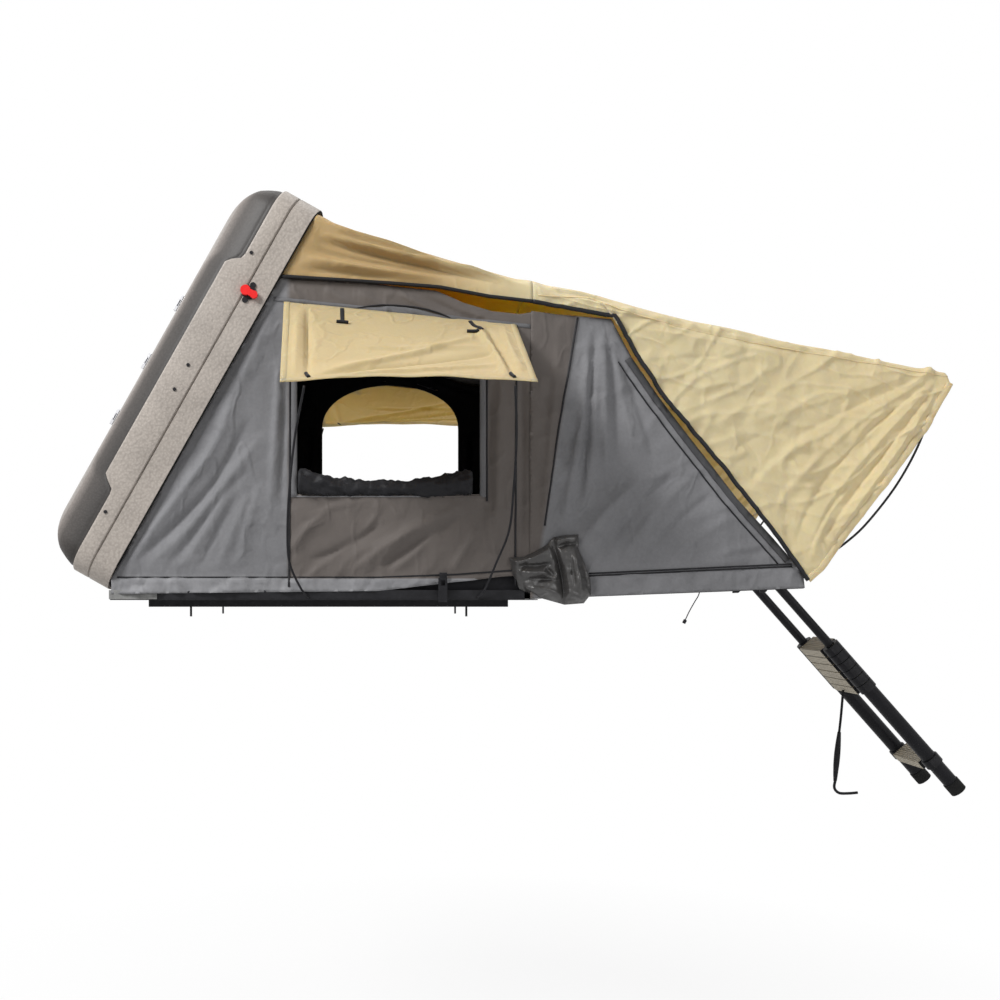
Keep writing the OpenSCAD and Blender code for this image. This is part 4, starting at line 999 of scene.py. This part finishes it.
def canopy(top, low, half, radius, sides=18, arc=9, roof=46):
    """Cross sections of a cloth that runs up one side, over the roof and down the other side."""
    rows = []
    for (tx, tz), (lx, lz), r in zip(top, low, radius):
        height = math.hypot(tx - lx, tz - lz)
        r = min(r, 0.9 * height)
        path = [(-half, (height - r) * k / sides) for k in range(sides)]
        path += [(-half + r - r * math.cos(t), height - r + r * math.sin(t))
                 for t in np.linspace(0, math.pi / 2, arc, endpoint=False)]
        path += [(-half + r + (half - r) * k / roof, height) for k in range(roof)]
        path += [(0.0, height)] + [(-y, h) for y, h in reversed(path)]
        rows.append([(lx + (tx - lx) * h / height, y, lz + (tz - lz) * h / height) for y, h in path])
    return np.array(rows)


def canopy_piece(name, rows, push, material):
    """Cloth from canopy rows, pushed along its own normals by push(points)."""
    count, across = rows.shape[:2]
    flat = rows.reshape(-1, 3)
    piece = add_mesh(name, flat, [f[::-1] for f in grid_faces(count, across)], material)
    normals = np.empty(len(flat) * 3)
    piece.data.vertices.foreach_get("normal", normals)
    normals = normals.reshape(-1, 3)
    moved = flat + normals * push(flat)[:, None]
    piece.data.vertices.foreach_set("co", moved.ravel())
    piece.data.update()
    thicken(piece, FLY_CLOTH)
    return piece, moved.reshape(count, across, 3), normals.reshape(count, across, 3)


def rides_roof(piece):
    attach(piece, "base")
    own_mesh(piece)


def rides_front(piece):
    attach(piece, "floor")
    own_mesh(piece)


FLY_SIDE_FOLDS = (
    ((-30, 1245, 250, 1178, 620, 1096), 14, -24), ((-20, 1268, 250, 1200, 640, 1112), 12, 18),
    ((-80, 1185, 100, 1155, 400, 1112), 16, 16), ((-60, 1215, 150, 1172, 450, 1122), 9, -12),
    ((50, 1268, 220, 1222, 500, 1150), 9, -12), ((-90, 1150, 50, 1135, 250, 1112), 10, -10),
    ((0, 1305, 200, 1238, 550, 1155), 10, 12))
FLY_ROOF_FOLDS = (
    ((0, -400, 700, -450), 30, 6), ((0, 400, 700, 450), 30, 6), ((0, -100, 700, -50), 60, -8),
    ((0, 200, 700, 220), 50, -6))


def fly_push(points):
    """How far the fly's cloth over the roof is pushed along its normals."""
    on_side = np.abs(points[:, 1]) > FLY_Y - SHOULDER
    side = 1.35 * folds(points[:, [0, 2]], FLY_SIDE_FOLDS) + rumple(points[:, [0, 2]], 9.0, 0.003, 3.0)
    roof = folds(points[:, :2], FLY_ROOF_FOLDS) + rumple(points[:, :2], 4.0, 0.006, 8.0)
    by_rim = soft_step(points[:, 0] - rim_x(points[:, 2]), 0.0, 0.08)
    by_seam = soft_step(SEAM_X - points[:, 0], 0.0, SEAM_FADE)
    return np.where(on_side, side, roof - 0.004) * by_rim * by_seam


def fly_roof_piece():
    count = 64
    top, low = along_line(FLY_TOP, count), along_line(FLY_LOW, count)
    rows = canopy(top, low, FLY_Y, np.linspace(0.035, 0.06, count), roof=36)
    fly, moved, _ = canopy_piece("rain_fly_roof", rows, fly_push, mat_roof_painted_shade)
    rides_roof(fly)
    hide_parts("fly_roof")
    piping = [tube_mesh("piping", moved[:, edge], 0.0065, mat_zip, 8) for edge in (0, -1)]
    trim = joined("fly_piping", piping)
    rides_roof(trim)
    declare(oblong(0.78, 1.72))


def roof_inner_piece():
    rows, columns, high, fall = 50, 60, 1.100, 0.096
    start, end = rim_x(high) + 0.002, SEAM_X
    points = []
    for t in np.linspace(0, 1, rows):
        for f in np.linspace(-1, 1, columns):
            x = start + (end - start) * t
            at_wall = np.interp(x, *np.transpose(WALL_TOP))
            z = at_wall + (high - fall * t - at_wall) * (1 - f ** 6)
            z -= 0.012 * math.sin(math.pi * t) * (1 - f * f)
            points.append((max(x, rim_x(z) + 0.002), f * (WALL_Y - 0.003), z))
    points = np.array(points)
    points[:, 2] += rumple(points[:, :2], 5.0, 0.006, 6.0) * (1 - np.abs(points[:, 1] / WALL_Y) ** 6)
    roof = add_mesh("inner_roof", points, [f[::-1] for f in grid_faces(rows, columns)], mat_side_painted_light)
    thicken(roof, THIN_CLOTH)
    rides_roof(roof)
    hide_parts("roof_inner")
    declare(oblong(0.87, 1.37))


fly_roof_piece()
roof_inner_piece()

FRONT = [(0.976, 0.980), (1.045, 0.850), (1.140, 0.712), (1.225, 0.600), (1.330, 0.466), (1.405, 0.368),
         (1.520, 0.242), (1.588, 0.164), tilted(FLOOR_END - 0.002, 0.065)]
SIDE = [(0.698, 0.030), tilted(FLOOR_END - 0.002, 0.030)] + FRONT[::-1] + [(0.702, 1.004), (0.698, 0.50)]
SIDE_FOLDS = (
    ((800, 240, 870, 620, 905, 960), 18, 16), ((845, 270, 895, 620, 922, 960), 11, -15),
    ((885, 340, 918, 660, 935, 960), 14, 14), ((955, 440, 952, 700, 948, 950), 16, 16),
    ((1000, 460, 985, 700, 962, 940), 11, -13), ((1055, 500, 1010, 720, 975, 920), 16, 11),
    ((1120, 500, 1060, 700, 990, 880), 14, -9), ((735, 220, 765, 550, 800, 950), 18, 11),
    ((1000, 150, 1120, 320, 1280, 480), 22, 14), ((1080, 150, 1190, 280, 1330, 400), 15, -12),
    ((1160, 150, 1270, 240, 1400, 320), 16, 11), ((840, 160, 950, 320, 1120, 480), 26, 13),
    ((920, 150, 1030, 300, 1200, 480), 15, -11), ((1280, 160, 1400, 200, 1520, 215), 14, 9),
    ((1020, 420, 1160, 460, 1270, 530), 18, 9), ((900, 150, 1200, 145, 1500, 165), 12, 8))


def side_out(flat, side):
    """How far a side panel's cloth stands out of its plane at points in X and Z."""
    held = soft_step(edge_distance(flat, SIDE), 0.0, HEM_FADE)
    out = folds(flat, SIDE_FOLDS) + rumple(flat, 7.0, 0.005, 3.0 * side)
    out += crumple(flat, 7.0, 0.012, 9.0 * side) + creases(flat, 6.0, 0.004, 8.0 * side, 0.5)
    lean = 0.014 * (1 - soft_step(flat[:, 0], 0.70, 0.80))
    skirt = SKIRT_OUT + crumple(flat, 11.0, 0.020, 5.0 * side)
    skirt *= 1 - soft_step(flat[:, 1] - 0.038 * (flat[:, 0] - FOLD[0]), 0.088, 0.100)
    return out * held + lean + skirt


def side_piece(word, side):
    flat, faces = filled(SIDE, [], CLOTH_STEP)
    points = cloth_points(flat, side, SIDE_Y, side_out)
    panel = add_mesh("side_panel_" + word, points, facing(faces, side), mat_side_painted_light)
    thicken(panel, WALL_CLOTH, mat_lining)
    rides_front(panel)
    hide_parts("side_" + word)

    def over(points):
        return cloth_points(dense(points, TRIM_STEP, closed=False), side, SIDE_Y, side_out, SEAM_LIFT)

    edge = over([(x - 0.013, z - 0.005) for x, z in FRONT[1:-1]])
    zipper = over([(x - 0.046, z - 0.016) for x, z in FRONT[1:-1]])
    seam = over([(0.862, 0.985), (0.833, 0.814), (0.799, 0.626), (0.748, 0.277)])
    trims = [ribbon_mesh("front_edge", edge, 0.024, 0.004, (0, side, 0), mat_edge),
             tube_mesh("front_zip", zipper, 0.003, mat_zip, 6),
             tube_mesh("hoop_seam", seam, 0.0034, mat_zip, 6)]
    for rise in (0.099, 0.107):
        line = over([tilted(0.900, rise), tilted(1.590, rise + 0.006)])
        trims.append(tube_mesh("skirt_zip", line, 0.0028, mat_zip, 6))
    trim = joined("side_trim_" + word, trims)
    rides_front(trim)
    declare(SIDE)


for tent_word, tent_side in SIDES:
    side_piece(tent_word, tent_side)


def tent_front_piece():
    """Inner roof strip over the hoop and the sloping front with its door."""
    foot = tilted(FLOOR_END - 0.003, 0.064)
    line = along_line([(0.709, 1.003)] + [(x - 0.001, z - 0.001) for x, z in FRONT], 90)
    columns, half = 70, 0.669
    points = np.array([(x, half * f, z) for x, z in line for f in np.linspace(-1, 1, columns)])
    held = soft_step(half - np.abs(points[:, 1]), 0.0, 0.08)
    swell = rumple(points[:, [1, 2]], 5.0, 0.008, 4.0) + rumple(points[:, [1, 2]], 14.0, 0.003, 1.0)
    on_slope = soft_step(points[:, 0], 0.97, 1.02)
    points[:, 0] += swell * held * on_slope * soft_step(points[:, 2], 0.06, 0.12)
    points[:, 2] += 0.6 * swell * held
    front = add_mesh("door_panel", points, grid_faces(len(line), columns), mat_side_painted_light)
    thicken(front, DOOR_CLOTH)
    rides_front(front)
    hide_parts("tent_front")
    slope = np.array([0.810, 0, 0.586])
    arch = []
    for turn in np.linspace(0, math.pi, 50):
        y, up = -0.42 * math.cos(turn), 0.10 + 0.72 * min(1.0, 1.25 * math.sin(turn))
        arch.append((foot[0] - 0.652 * up + 0.003, y, foot[1] + 0.880 * up + 0.002))
    zips = joined("door_zip", [ribbon_mesh("door_flap", arch, 0.028, 0.003, slope, mat_dark_cloth),
                               tube_mesh("door_zip", np.array(arch) + slope * 0.004, 0.003, mat_zip, 6)])
    rides_front(zips)
    declare(oblong(1.40, 1.338))


tent_front_piece()


# Steps of the cloth up each side of the hood
HOOD_SIDE = 104
HOOD_FOLDS = (
    ((2085, 745, 1960, 560, 1800, 340, 1690, 180), 14, 16),
    ((2075, 755, 1930, 565, 1770, 350, 1670, 200), 10, -14),
    ((2070, 765, 1890, 575, 1720, 370, 1640, 220), 14, 15), ((2060, 775, 1840, 590, 1670, 400), 11, -12),
    ((2050, 780, 1800, 620, 1600, 430), 16, 11), ((2030, 785, 1760, 660, 1500, 520), 14, -9),
    ((2000, 790, 1700, 700, 1420, 620), 16, 9), ((1640, 150, 1700, 300, 1800, 430), 11, 11),
    ((1590, 210, 1640, 340, 1720, 480), 13, -10), ((1520, 310, 1580, 410, 1680, 520), 14, 11),
    ((1440, 400, 1540, 500, 1660, 580), 13, 10), ((1360, 520, 1470, 580, 1620, 640), 14, -9),
    ((1300, 600, 1430, 680, 1580, 700), 14, 10), ((1220, 720, 1360, 760, 1500, 750), 13, 9),
    ((1120, 830, 1300, 850, 1480, 830), 13, -8), ((1040, 950, 1280, 910, 1560, 855), 12, 9),
    ((985, 1000, 1280, 935, 1650, 850), 9, -9), ((760, 1068, 930, 1030, 1120, 985), 9, 10),
    ((800, 1082, 980, 1040, 1180, 990), 8, -8))
HOOD_ROOF_FOLDS = (
    ((720, -500, 2000, -550), 50, 6), ((720, 500, 2000, 550), 50, 6), ((1000, -200, 2050, -100), 60, -8),
    ((1000, 300, 2050, 200), 60, -8))


def hood_push(points):
    """How far the hood's cloth is pushed along its normals."""
    on_side = np.abs(points[:, 1]) > FLY_Y - SHOULDER
    flat = points[:, [0, 2]]
    side = folds(flat, HOOD_FOLDS) * 0.75 + rumple(flat, 6.0, 0.005, 3.0) + crumple(flat, 7.0, 0.014, 2.0)
    side = side - 0.006 + creases(flat, 11.0, 0.007, 6.0, 0.6) + creases(flat, 14.0, 0.005, 11.0, -0.25)
    roof = folds(points[:, :2], HOOD_ROOF_FOLDS) + rumple(points[:, :2], 4.0, 0.007, 5.0) - 0.005
    by_seam = soft_step(points[:, 0] - SEAM_X, 0.0, SEAM_FADE)
    by_tip = soft_step(HOOD_FRONT[-1][0] - points[:, 0], 0.0, 0.05)
    return np.where(on_side, side, roof) * by_seam * (0.3 + 0.7 * by_tip)


def hood_piece():
    back, front = 140, 100
    top = along_line(HOOD_TOP, back + front - 1)
    low = np.concatenate([along_line(HOOD_BACK, back), along_line(HOOD_FRONT, front)[1:]])
    radius = np.interp(top[:, 0], [0.70, 1.2, 2.10], [0.06, 0.05, 0.02])
    rows = canopy(top, low, FLY_Y, radius, sides=HOOD_SIDE, roof=34)
    hood, moved, normals = canopy_piece("rain_fly_hood", rows, hood_push, mat_fly)
    rides_front(hood)
    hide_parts("fly_hood")
    trims = []
    for edge, side, shoulder in ((0, -1, HOOD_SIDE), (-1, 1, -HOOD_SIDE - 1)):
        trims.append(tube_mesh("back_piping", moved[:back, edge], 0.0075, mat_zip, 8))
        hem = moved[back - 1:, edge] + (moved[back - 1:, edge - side] - moved[back - 1:, edge]) * 0.3
        trims.append(ribbon_mesh("front_hem", hem, 0.024, 0.0022, (0, side, 0), mat_fly))
        seam = moved[2:, shoulder] + normals[2:, shoulder] * 0.0006
        trims.append(tube_mesh("shoulder_seam", seam, 0.0022, mat_fly, 6))
    trim = joined("hood_trim", trims)
    rides_front(trim)
    declare(oblong(1.42, 2.70), area=2.90)


HOOD_ROD = [(1.608, 0.678, 0.139), (1.700, 0.680, 0.172), (1.781, 0.682, 0.228), (1.850, 0.683, 0.295),
            (1.945, 0.685, 0.420), (2.020, 0.686, 0.560), (2.060, 0.687, 0.690), (2.068, 0.687, 0.800)]
HOOD_ROD_TIP = [(2.068, 0.686, 0.760), (2.068, 0.686, 0.790)]


def hood_rods_piece():
    rods = []
    for side in (-1, 1):
        rod, tip = ([(x, side * y, z) for x, y, z in route] for route in (HOOD_ROD, HOOD_ROD_TIP))
        rods.append(tube_mesh("rod", smooth_route(rod, 0.015), 0.004, mat_black_metal, 10))
        rods.append(tube_mesh("rod_tip", tip, 0.006, mat_black_plastic, 12))
    rods = joined("hood_rods_bent", rods)
    rides_front(rods)
    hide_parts("hood_rods")


hood_rods_piece()
hood_piece()

# Sleeve at the joint of base and floor
POUCH = [(0.628, 0.168), (0.640, 0.110), (0.662, 0.062), (0.740, 0.030), (0.815, 0.009), (0.880, 0.014),
         (0.904, 0.045), (0.902, 0.095), (0.882, 0.150), (0.862, 0.200), (0.862, 0.247), (0.820, 0.246),
         (0.777, 0.238), (0.756, 0.212), (0.715, 0.190), (0.678, 0.172)]
POUCH_FOLDS = (
    ((640, 160, 700, 168, 772, 205), 12, 20), ((650, 140, 720, 142, 775, 150), 8, -16),
    ((655, 120, 720, 118, 790, 112), 12, 18), ((665, 92, 730, 98, 800, 90), 8, -16),
    ((676, 66, 745, 62, 808, 40), 12, 18), ((770, 240, 793, 157, 804, 115, 809, 78, 814, 0), 10, -34),
    ((748, 134, 766, 118, 782, 104), 12, -22), ((845, 205, 850, 140, 862, 85, 860, 30), 22, 24),
    ((780, 226, 820, 236, 862, 243), 10, 22), ((785, 205, 825, 214, 868, 216), 7, -20),
    ((830, 185, 836, 130, 845, 70), 6, -12), ((880, 180, 885, 120, 897, 60), 6, -12),
    ((818, 60, 850, 40, 880, 20), 10, 16))


def closed_faces(shown, count):
    """Faces of a closed body: the shown ones, the same turned round count points further on, and the rim."""
    edges = {edge: True for face in shown for edge in zip(face, face[1:] + face[:1])}
    rim = [(b, a, count + a, count + b) for a, b in edges if (b, a) not in edges]
    return shown + [tuple(count + k for k in reversed(face)) for face in shown] + rim


def pouch_piece():
    flat, faces = filled(POUCH, [], 0.0045)
    edge = edge_distance(flat, POUCH)
    bulge = 0.030 * np.sqrt(soft_step(edge, 0.0, 0.05))
    rough = folds(flat, POUCH_FOLDS) + crumple(flat, 15.0, 0.014, 3.0)
    front = np.maximum(BASE_Y + 0.003, BASE_Y + 0.004 + bulge + rough * soft_step(edge, 0.0, 0.014))
    back = np.full(len(flat), BASE_Y + 0.001)
    points = [(x, -y, z) for shape in (front, back) for (x, z), y in zip(flat, shape)]
    pouch = add_mesh("soft_sleeve", points, closed_faces(facing(faces, -1), len(flat)), mat_sleeve)
    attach(pouch, "floor")
    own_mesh(pouch)
    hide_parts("pouch")


pouch_piece()


# Mattress: half width, height, height and pitch of the quilting, share of the height at the edges
PAD_HALF, PAD_HIGH, QUILT, QUILT_PITCH, EDGE_SHARE = 0.600, 0.0395, 0.0022, 0.11, 0.72


def quilt_height(x, y):
    """Height of the quilting, between seams that cross the pad both ways."""
    return QUILT * sum(abs(math.sin(d * math.pi / QUILT_PITCH)) ** 0.5 for d in (x + y, x - y))


def mattress_piece(word, x0, x1):
    """Foam pad with a crowned, quilted top."""
    rows, columns = 60, 80
    top, low = [], []
    for u in np.linspace(0, 1, rows):
        for v in np.linspace(0, 1, columns):
            x, y = x0 + (x1 - x0) * u, PAD_HALF * (2 * v - 1)
            crown = (math.sin(math.pi * u) * math.sin(math.pi * v)) ** 0.3
            high = PAD_HIGH * (EDGE_SHARE + (1 - EDGE_SHARE) * crown) - 2 * QUILT
            top.append((x, y, FLOOR_TOP + high + quilt_height(x, y) * min(1, 4 * crown)))
            low.append((x, y, FLOOR_TOP + 0.0005))
    points = top + low
    if word == "floor":
        points = [(tilted(x, z)[0], y, tilted(x, z)[1]) for x, y, z in points]
    faces = closed_faces([f[::-1] for f in grid_faces(rows, columns)], len(top))
    pad = add_mesh("mattress_pad_" + word, points, faces, mat_pad)
    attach(pad, word)
    if word == "base":
        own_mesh(pad)
    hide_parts("mattress_" + word)


mattress_piece("base", -0.690, 0.660)
mattress_piece("floor", 0.760, 1.601)


STRAP = [(2.0212, 0, -0.333), (2.018, 0, -0.370), (2.012, 0, -0.440), (2.004, 0, -0.513), (1.996, 0, -0.600),
         (1.990, 0, -0.690)]
STRAP_HOLD = [(2.0055, 0, -0.500), (1.999, 0, -0.570), (1.992, 0, -0.650), (1.989, 0, -0.695)]
STRAP_TAIL = [(1.990, 0, -0.690), (1.986, 0, -0.722), (2.004, 0, -0.742), (2.040, 0, -0.744),
              (2.078, 0, -0.741)]


def ladder_strap_piece():
    route = smooth_route(STRAP, 0.012)
    strap = tube_mesh("pull_strap", route, 0.005, mat_webbing, 10)
    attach(strap, "ladder_s7")
    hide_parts("ladder_strap")
    hold, tail = smooth_route(STRAP_HOLD, 0.008), smooth_route(STRAP_TAIL, 0.008)
    radii = 0.006 + 0.006 * np.sin(np.linspace(0.1, math.pi - 0.1, len(hold)))
    handle = joined("strap_handle", [tube_mesh("hold", hold, radii, mat_black_plastic, 12),
                                     tube_mesh("tail", tail, 0.0055, mat_webbing, 10)])
    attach(handle, "ladder_s7")


ladder_strap_piece()

TIE = [(1.280, -0.672, 0.069), (1.274, -0.672, 0.042), (1.261, -0.664, 0.016), (1.246, -0.655, -0.015),
       (1.234, -0.647, -0.045)]
TIE_TOGGLE = [(1.2350, -0.648, -0.043), (1.2300, -0.645, -0.054)]


def tie_cord_piece():
    route = smooth_route(TIE, 0.004)
    cord = tube_mesh("tie_cord", route, 0.0018, mat_webbing, 8)
    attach(cord, "floor")
    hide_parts("floor_cord")
    toggle = tube_mesh("tie_toggle", TIE_TOGGLE, 0.0062, mat_black_plastic, 12)
    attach(toggle, "floor")


tie_cord_piece()

# Floor, light and camera
CAMERA = {"place": (0.241, -4.689, 0.032), "lens": 42.5, "shift": (0.105, 0.098)}
GROUND = -1.75


def stage_piece():
    """Pale floor that sweeps up behind the tent."""
    line = [(-9.0, 0.0), (3.0, 0.0), (3.6, 0.03), (4.1, 0.12), (4.6, 0.30), (5.1, 0.62), (5.5, 1.10),
            (5.8, 1.80), (5.95, 2.8), (6.0, 4.0), (6.0, 9.0)]
    route = smooth_route([(0.0, y, z) for y, z in line], 0.25)
    points = [(x, y, GROUND + z) for _, y, z in route for x in (-14.0, 14.0)]
    floor = add_mesh("studio_floor", points, [f[::-1] for f in grid_faces(len(route), 2)], mat_floor)


def seen_directly(tree):
    """1 for rays that show the backdrop, also in a mirror or through glass, and 0 for the others."""
    path = tree.nodes.new("ShaderNodeLightPath")
    seen = math_node(tree, "MAXIMUM", path.outputs["Is Camera Ray"], path.outputs["Is Glossy Ray"])
    return math_node(tree, "MAXIMUM", seen, path.outputs["Is Transmission Ray"])


def floor_material():
    """White paper: seen directly it is white, with some of its own shading near the tent as shadow."""
    material, tree, shader = new_material("floor_paper")
    fill(shader, Base_Color=(0.9, 0.9, 0.9, 1), Roughness=0.9)
    glow = add(tree, "ShaderNodeEmission", Color=(1, 1, 1, 1), Strength=1.0)
    gap = tree.nodes.new("ShaderNodeVectorMath")
    gap.operation = "DISTANCE"
    put(gap.inputs[0], coordinates(tree))
    put(gap.inputs[1], (0.6, 0.0, GROUND))
    away = map_range(tree, gap.outputs["Value"], From_Min=1.2, From_Max=3.0, To_Min=0.88)
    mix = add(tree, "ShaderNodeMixShader", Fac=math_node(tree, "MULTIPLY", seen_directly(tree), away))
    put(mix.inputs[1], shader.outputs["BSDF"])
    put(mix.inputs[2], glow.outputs["Emission"])
    fill(tree.nodes["Material Output"], Surface=mix.outputs["Shader"])
    return material


mat_floor = floor_material()
stage_piece()


def area_light(name, place, aim, size, power):
    data = bpy.data.lights.new(name, "AREA")
    data.shape = "RECTANGLE"
    data.size, data.size_y = size
    data.energy = power
    lamp = bpy.data.objects.new(name, data)
    lamp.location = place
    lamp.rotation_euler = (Vector(aim) - Vector(place)).to_track_quat("-Z", "Y").to_euler()
    scene.collection.objects.link(lamp)


area_light("key", (-3.6, -3.4, 4.2), (0.6, -0.4, 0.4), (1.8, 1.8), 420)
area_light("fill", (4.2, -4.6, 2.0), (0.8, 0.0, 0.4), (2.5, 2.5), 80)
area_light("top", (0.6, 0.6, 5.2), (0.6, 0.0, 0.5), (4.0, 3.0), 90)

world = bpy.data.worlds.new("studio")
scene.world = world
world.use_nodes = True
level = map_range(world.node_tree, seen_directly(world.node_tree), To_Min=0.22)
fill(world.node_tree.nodes["Background"], Color=(1, 1, 1, 1), Strength=level)

camera_data = bpy.data.cameras.new("camera")
camera_data.lens = CAMERA["lens"]
camera_data.shift_x, camera_data.shift_y = CAMERA["shift"]
camera = bpy.data.objects.new("camera", camera_data)
camera.location = CAMERA["place"]
camera.rotation_euler = (math.pi / 2, 0, 0)
scene.collection.objects.link(camera)
scene.camera = camera
scene.view_settings.view_transform = "Standard"
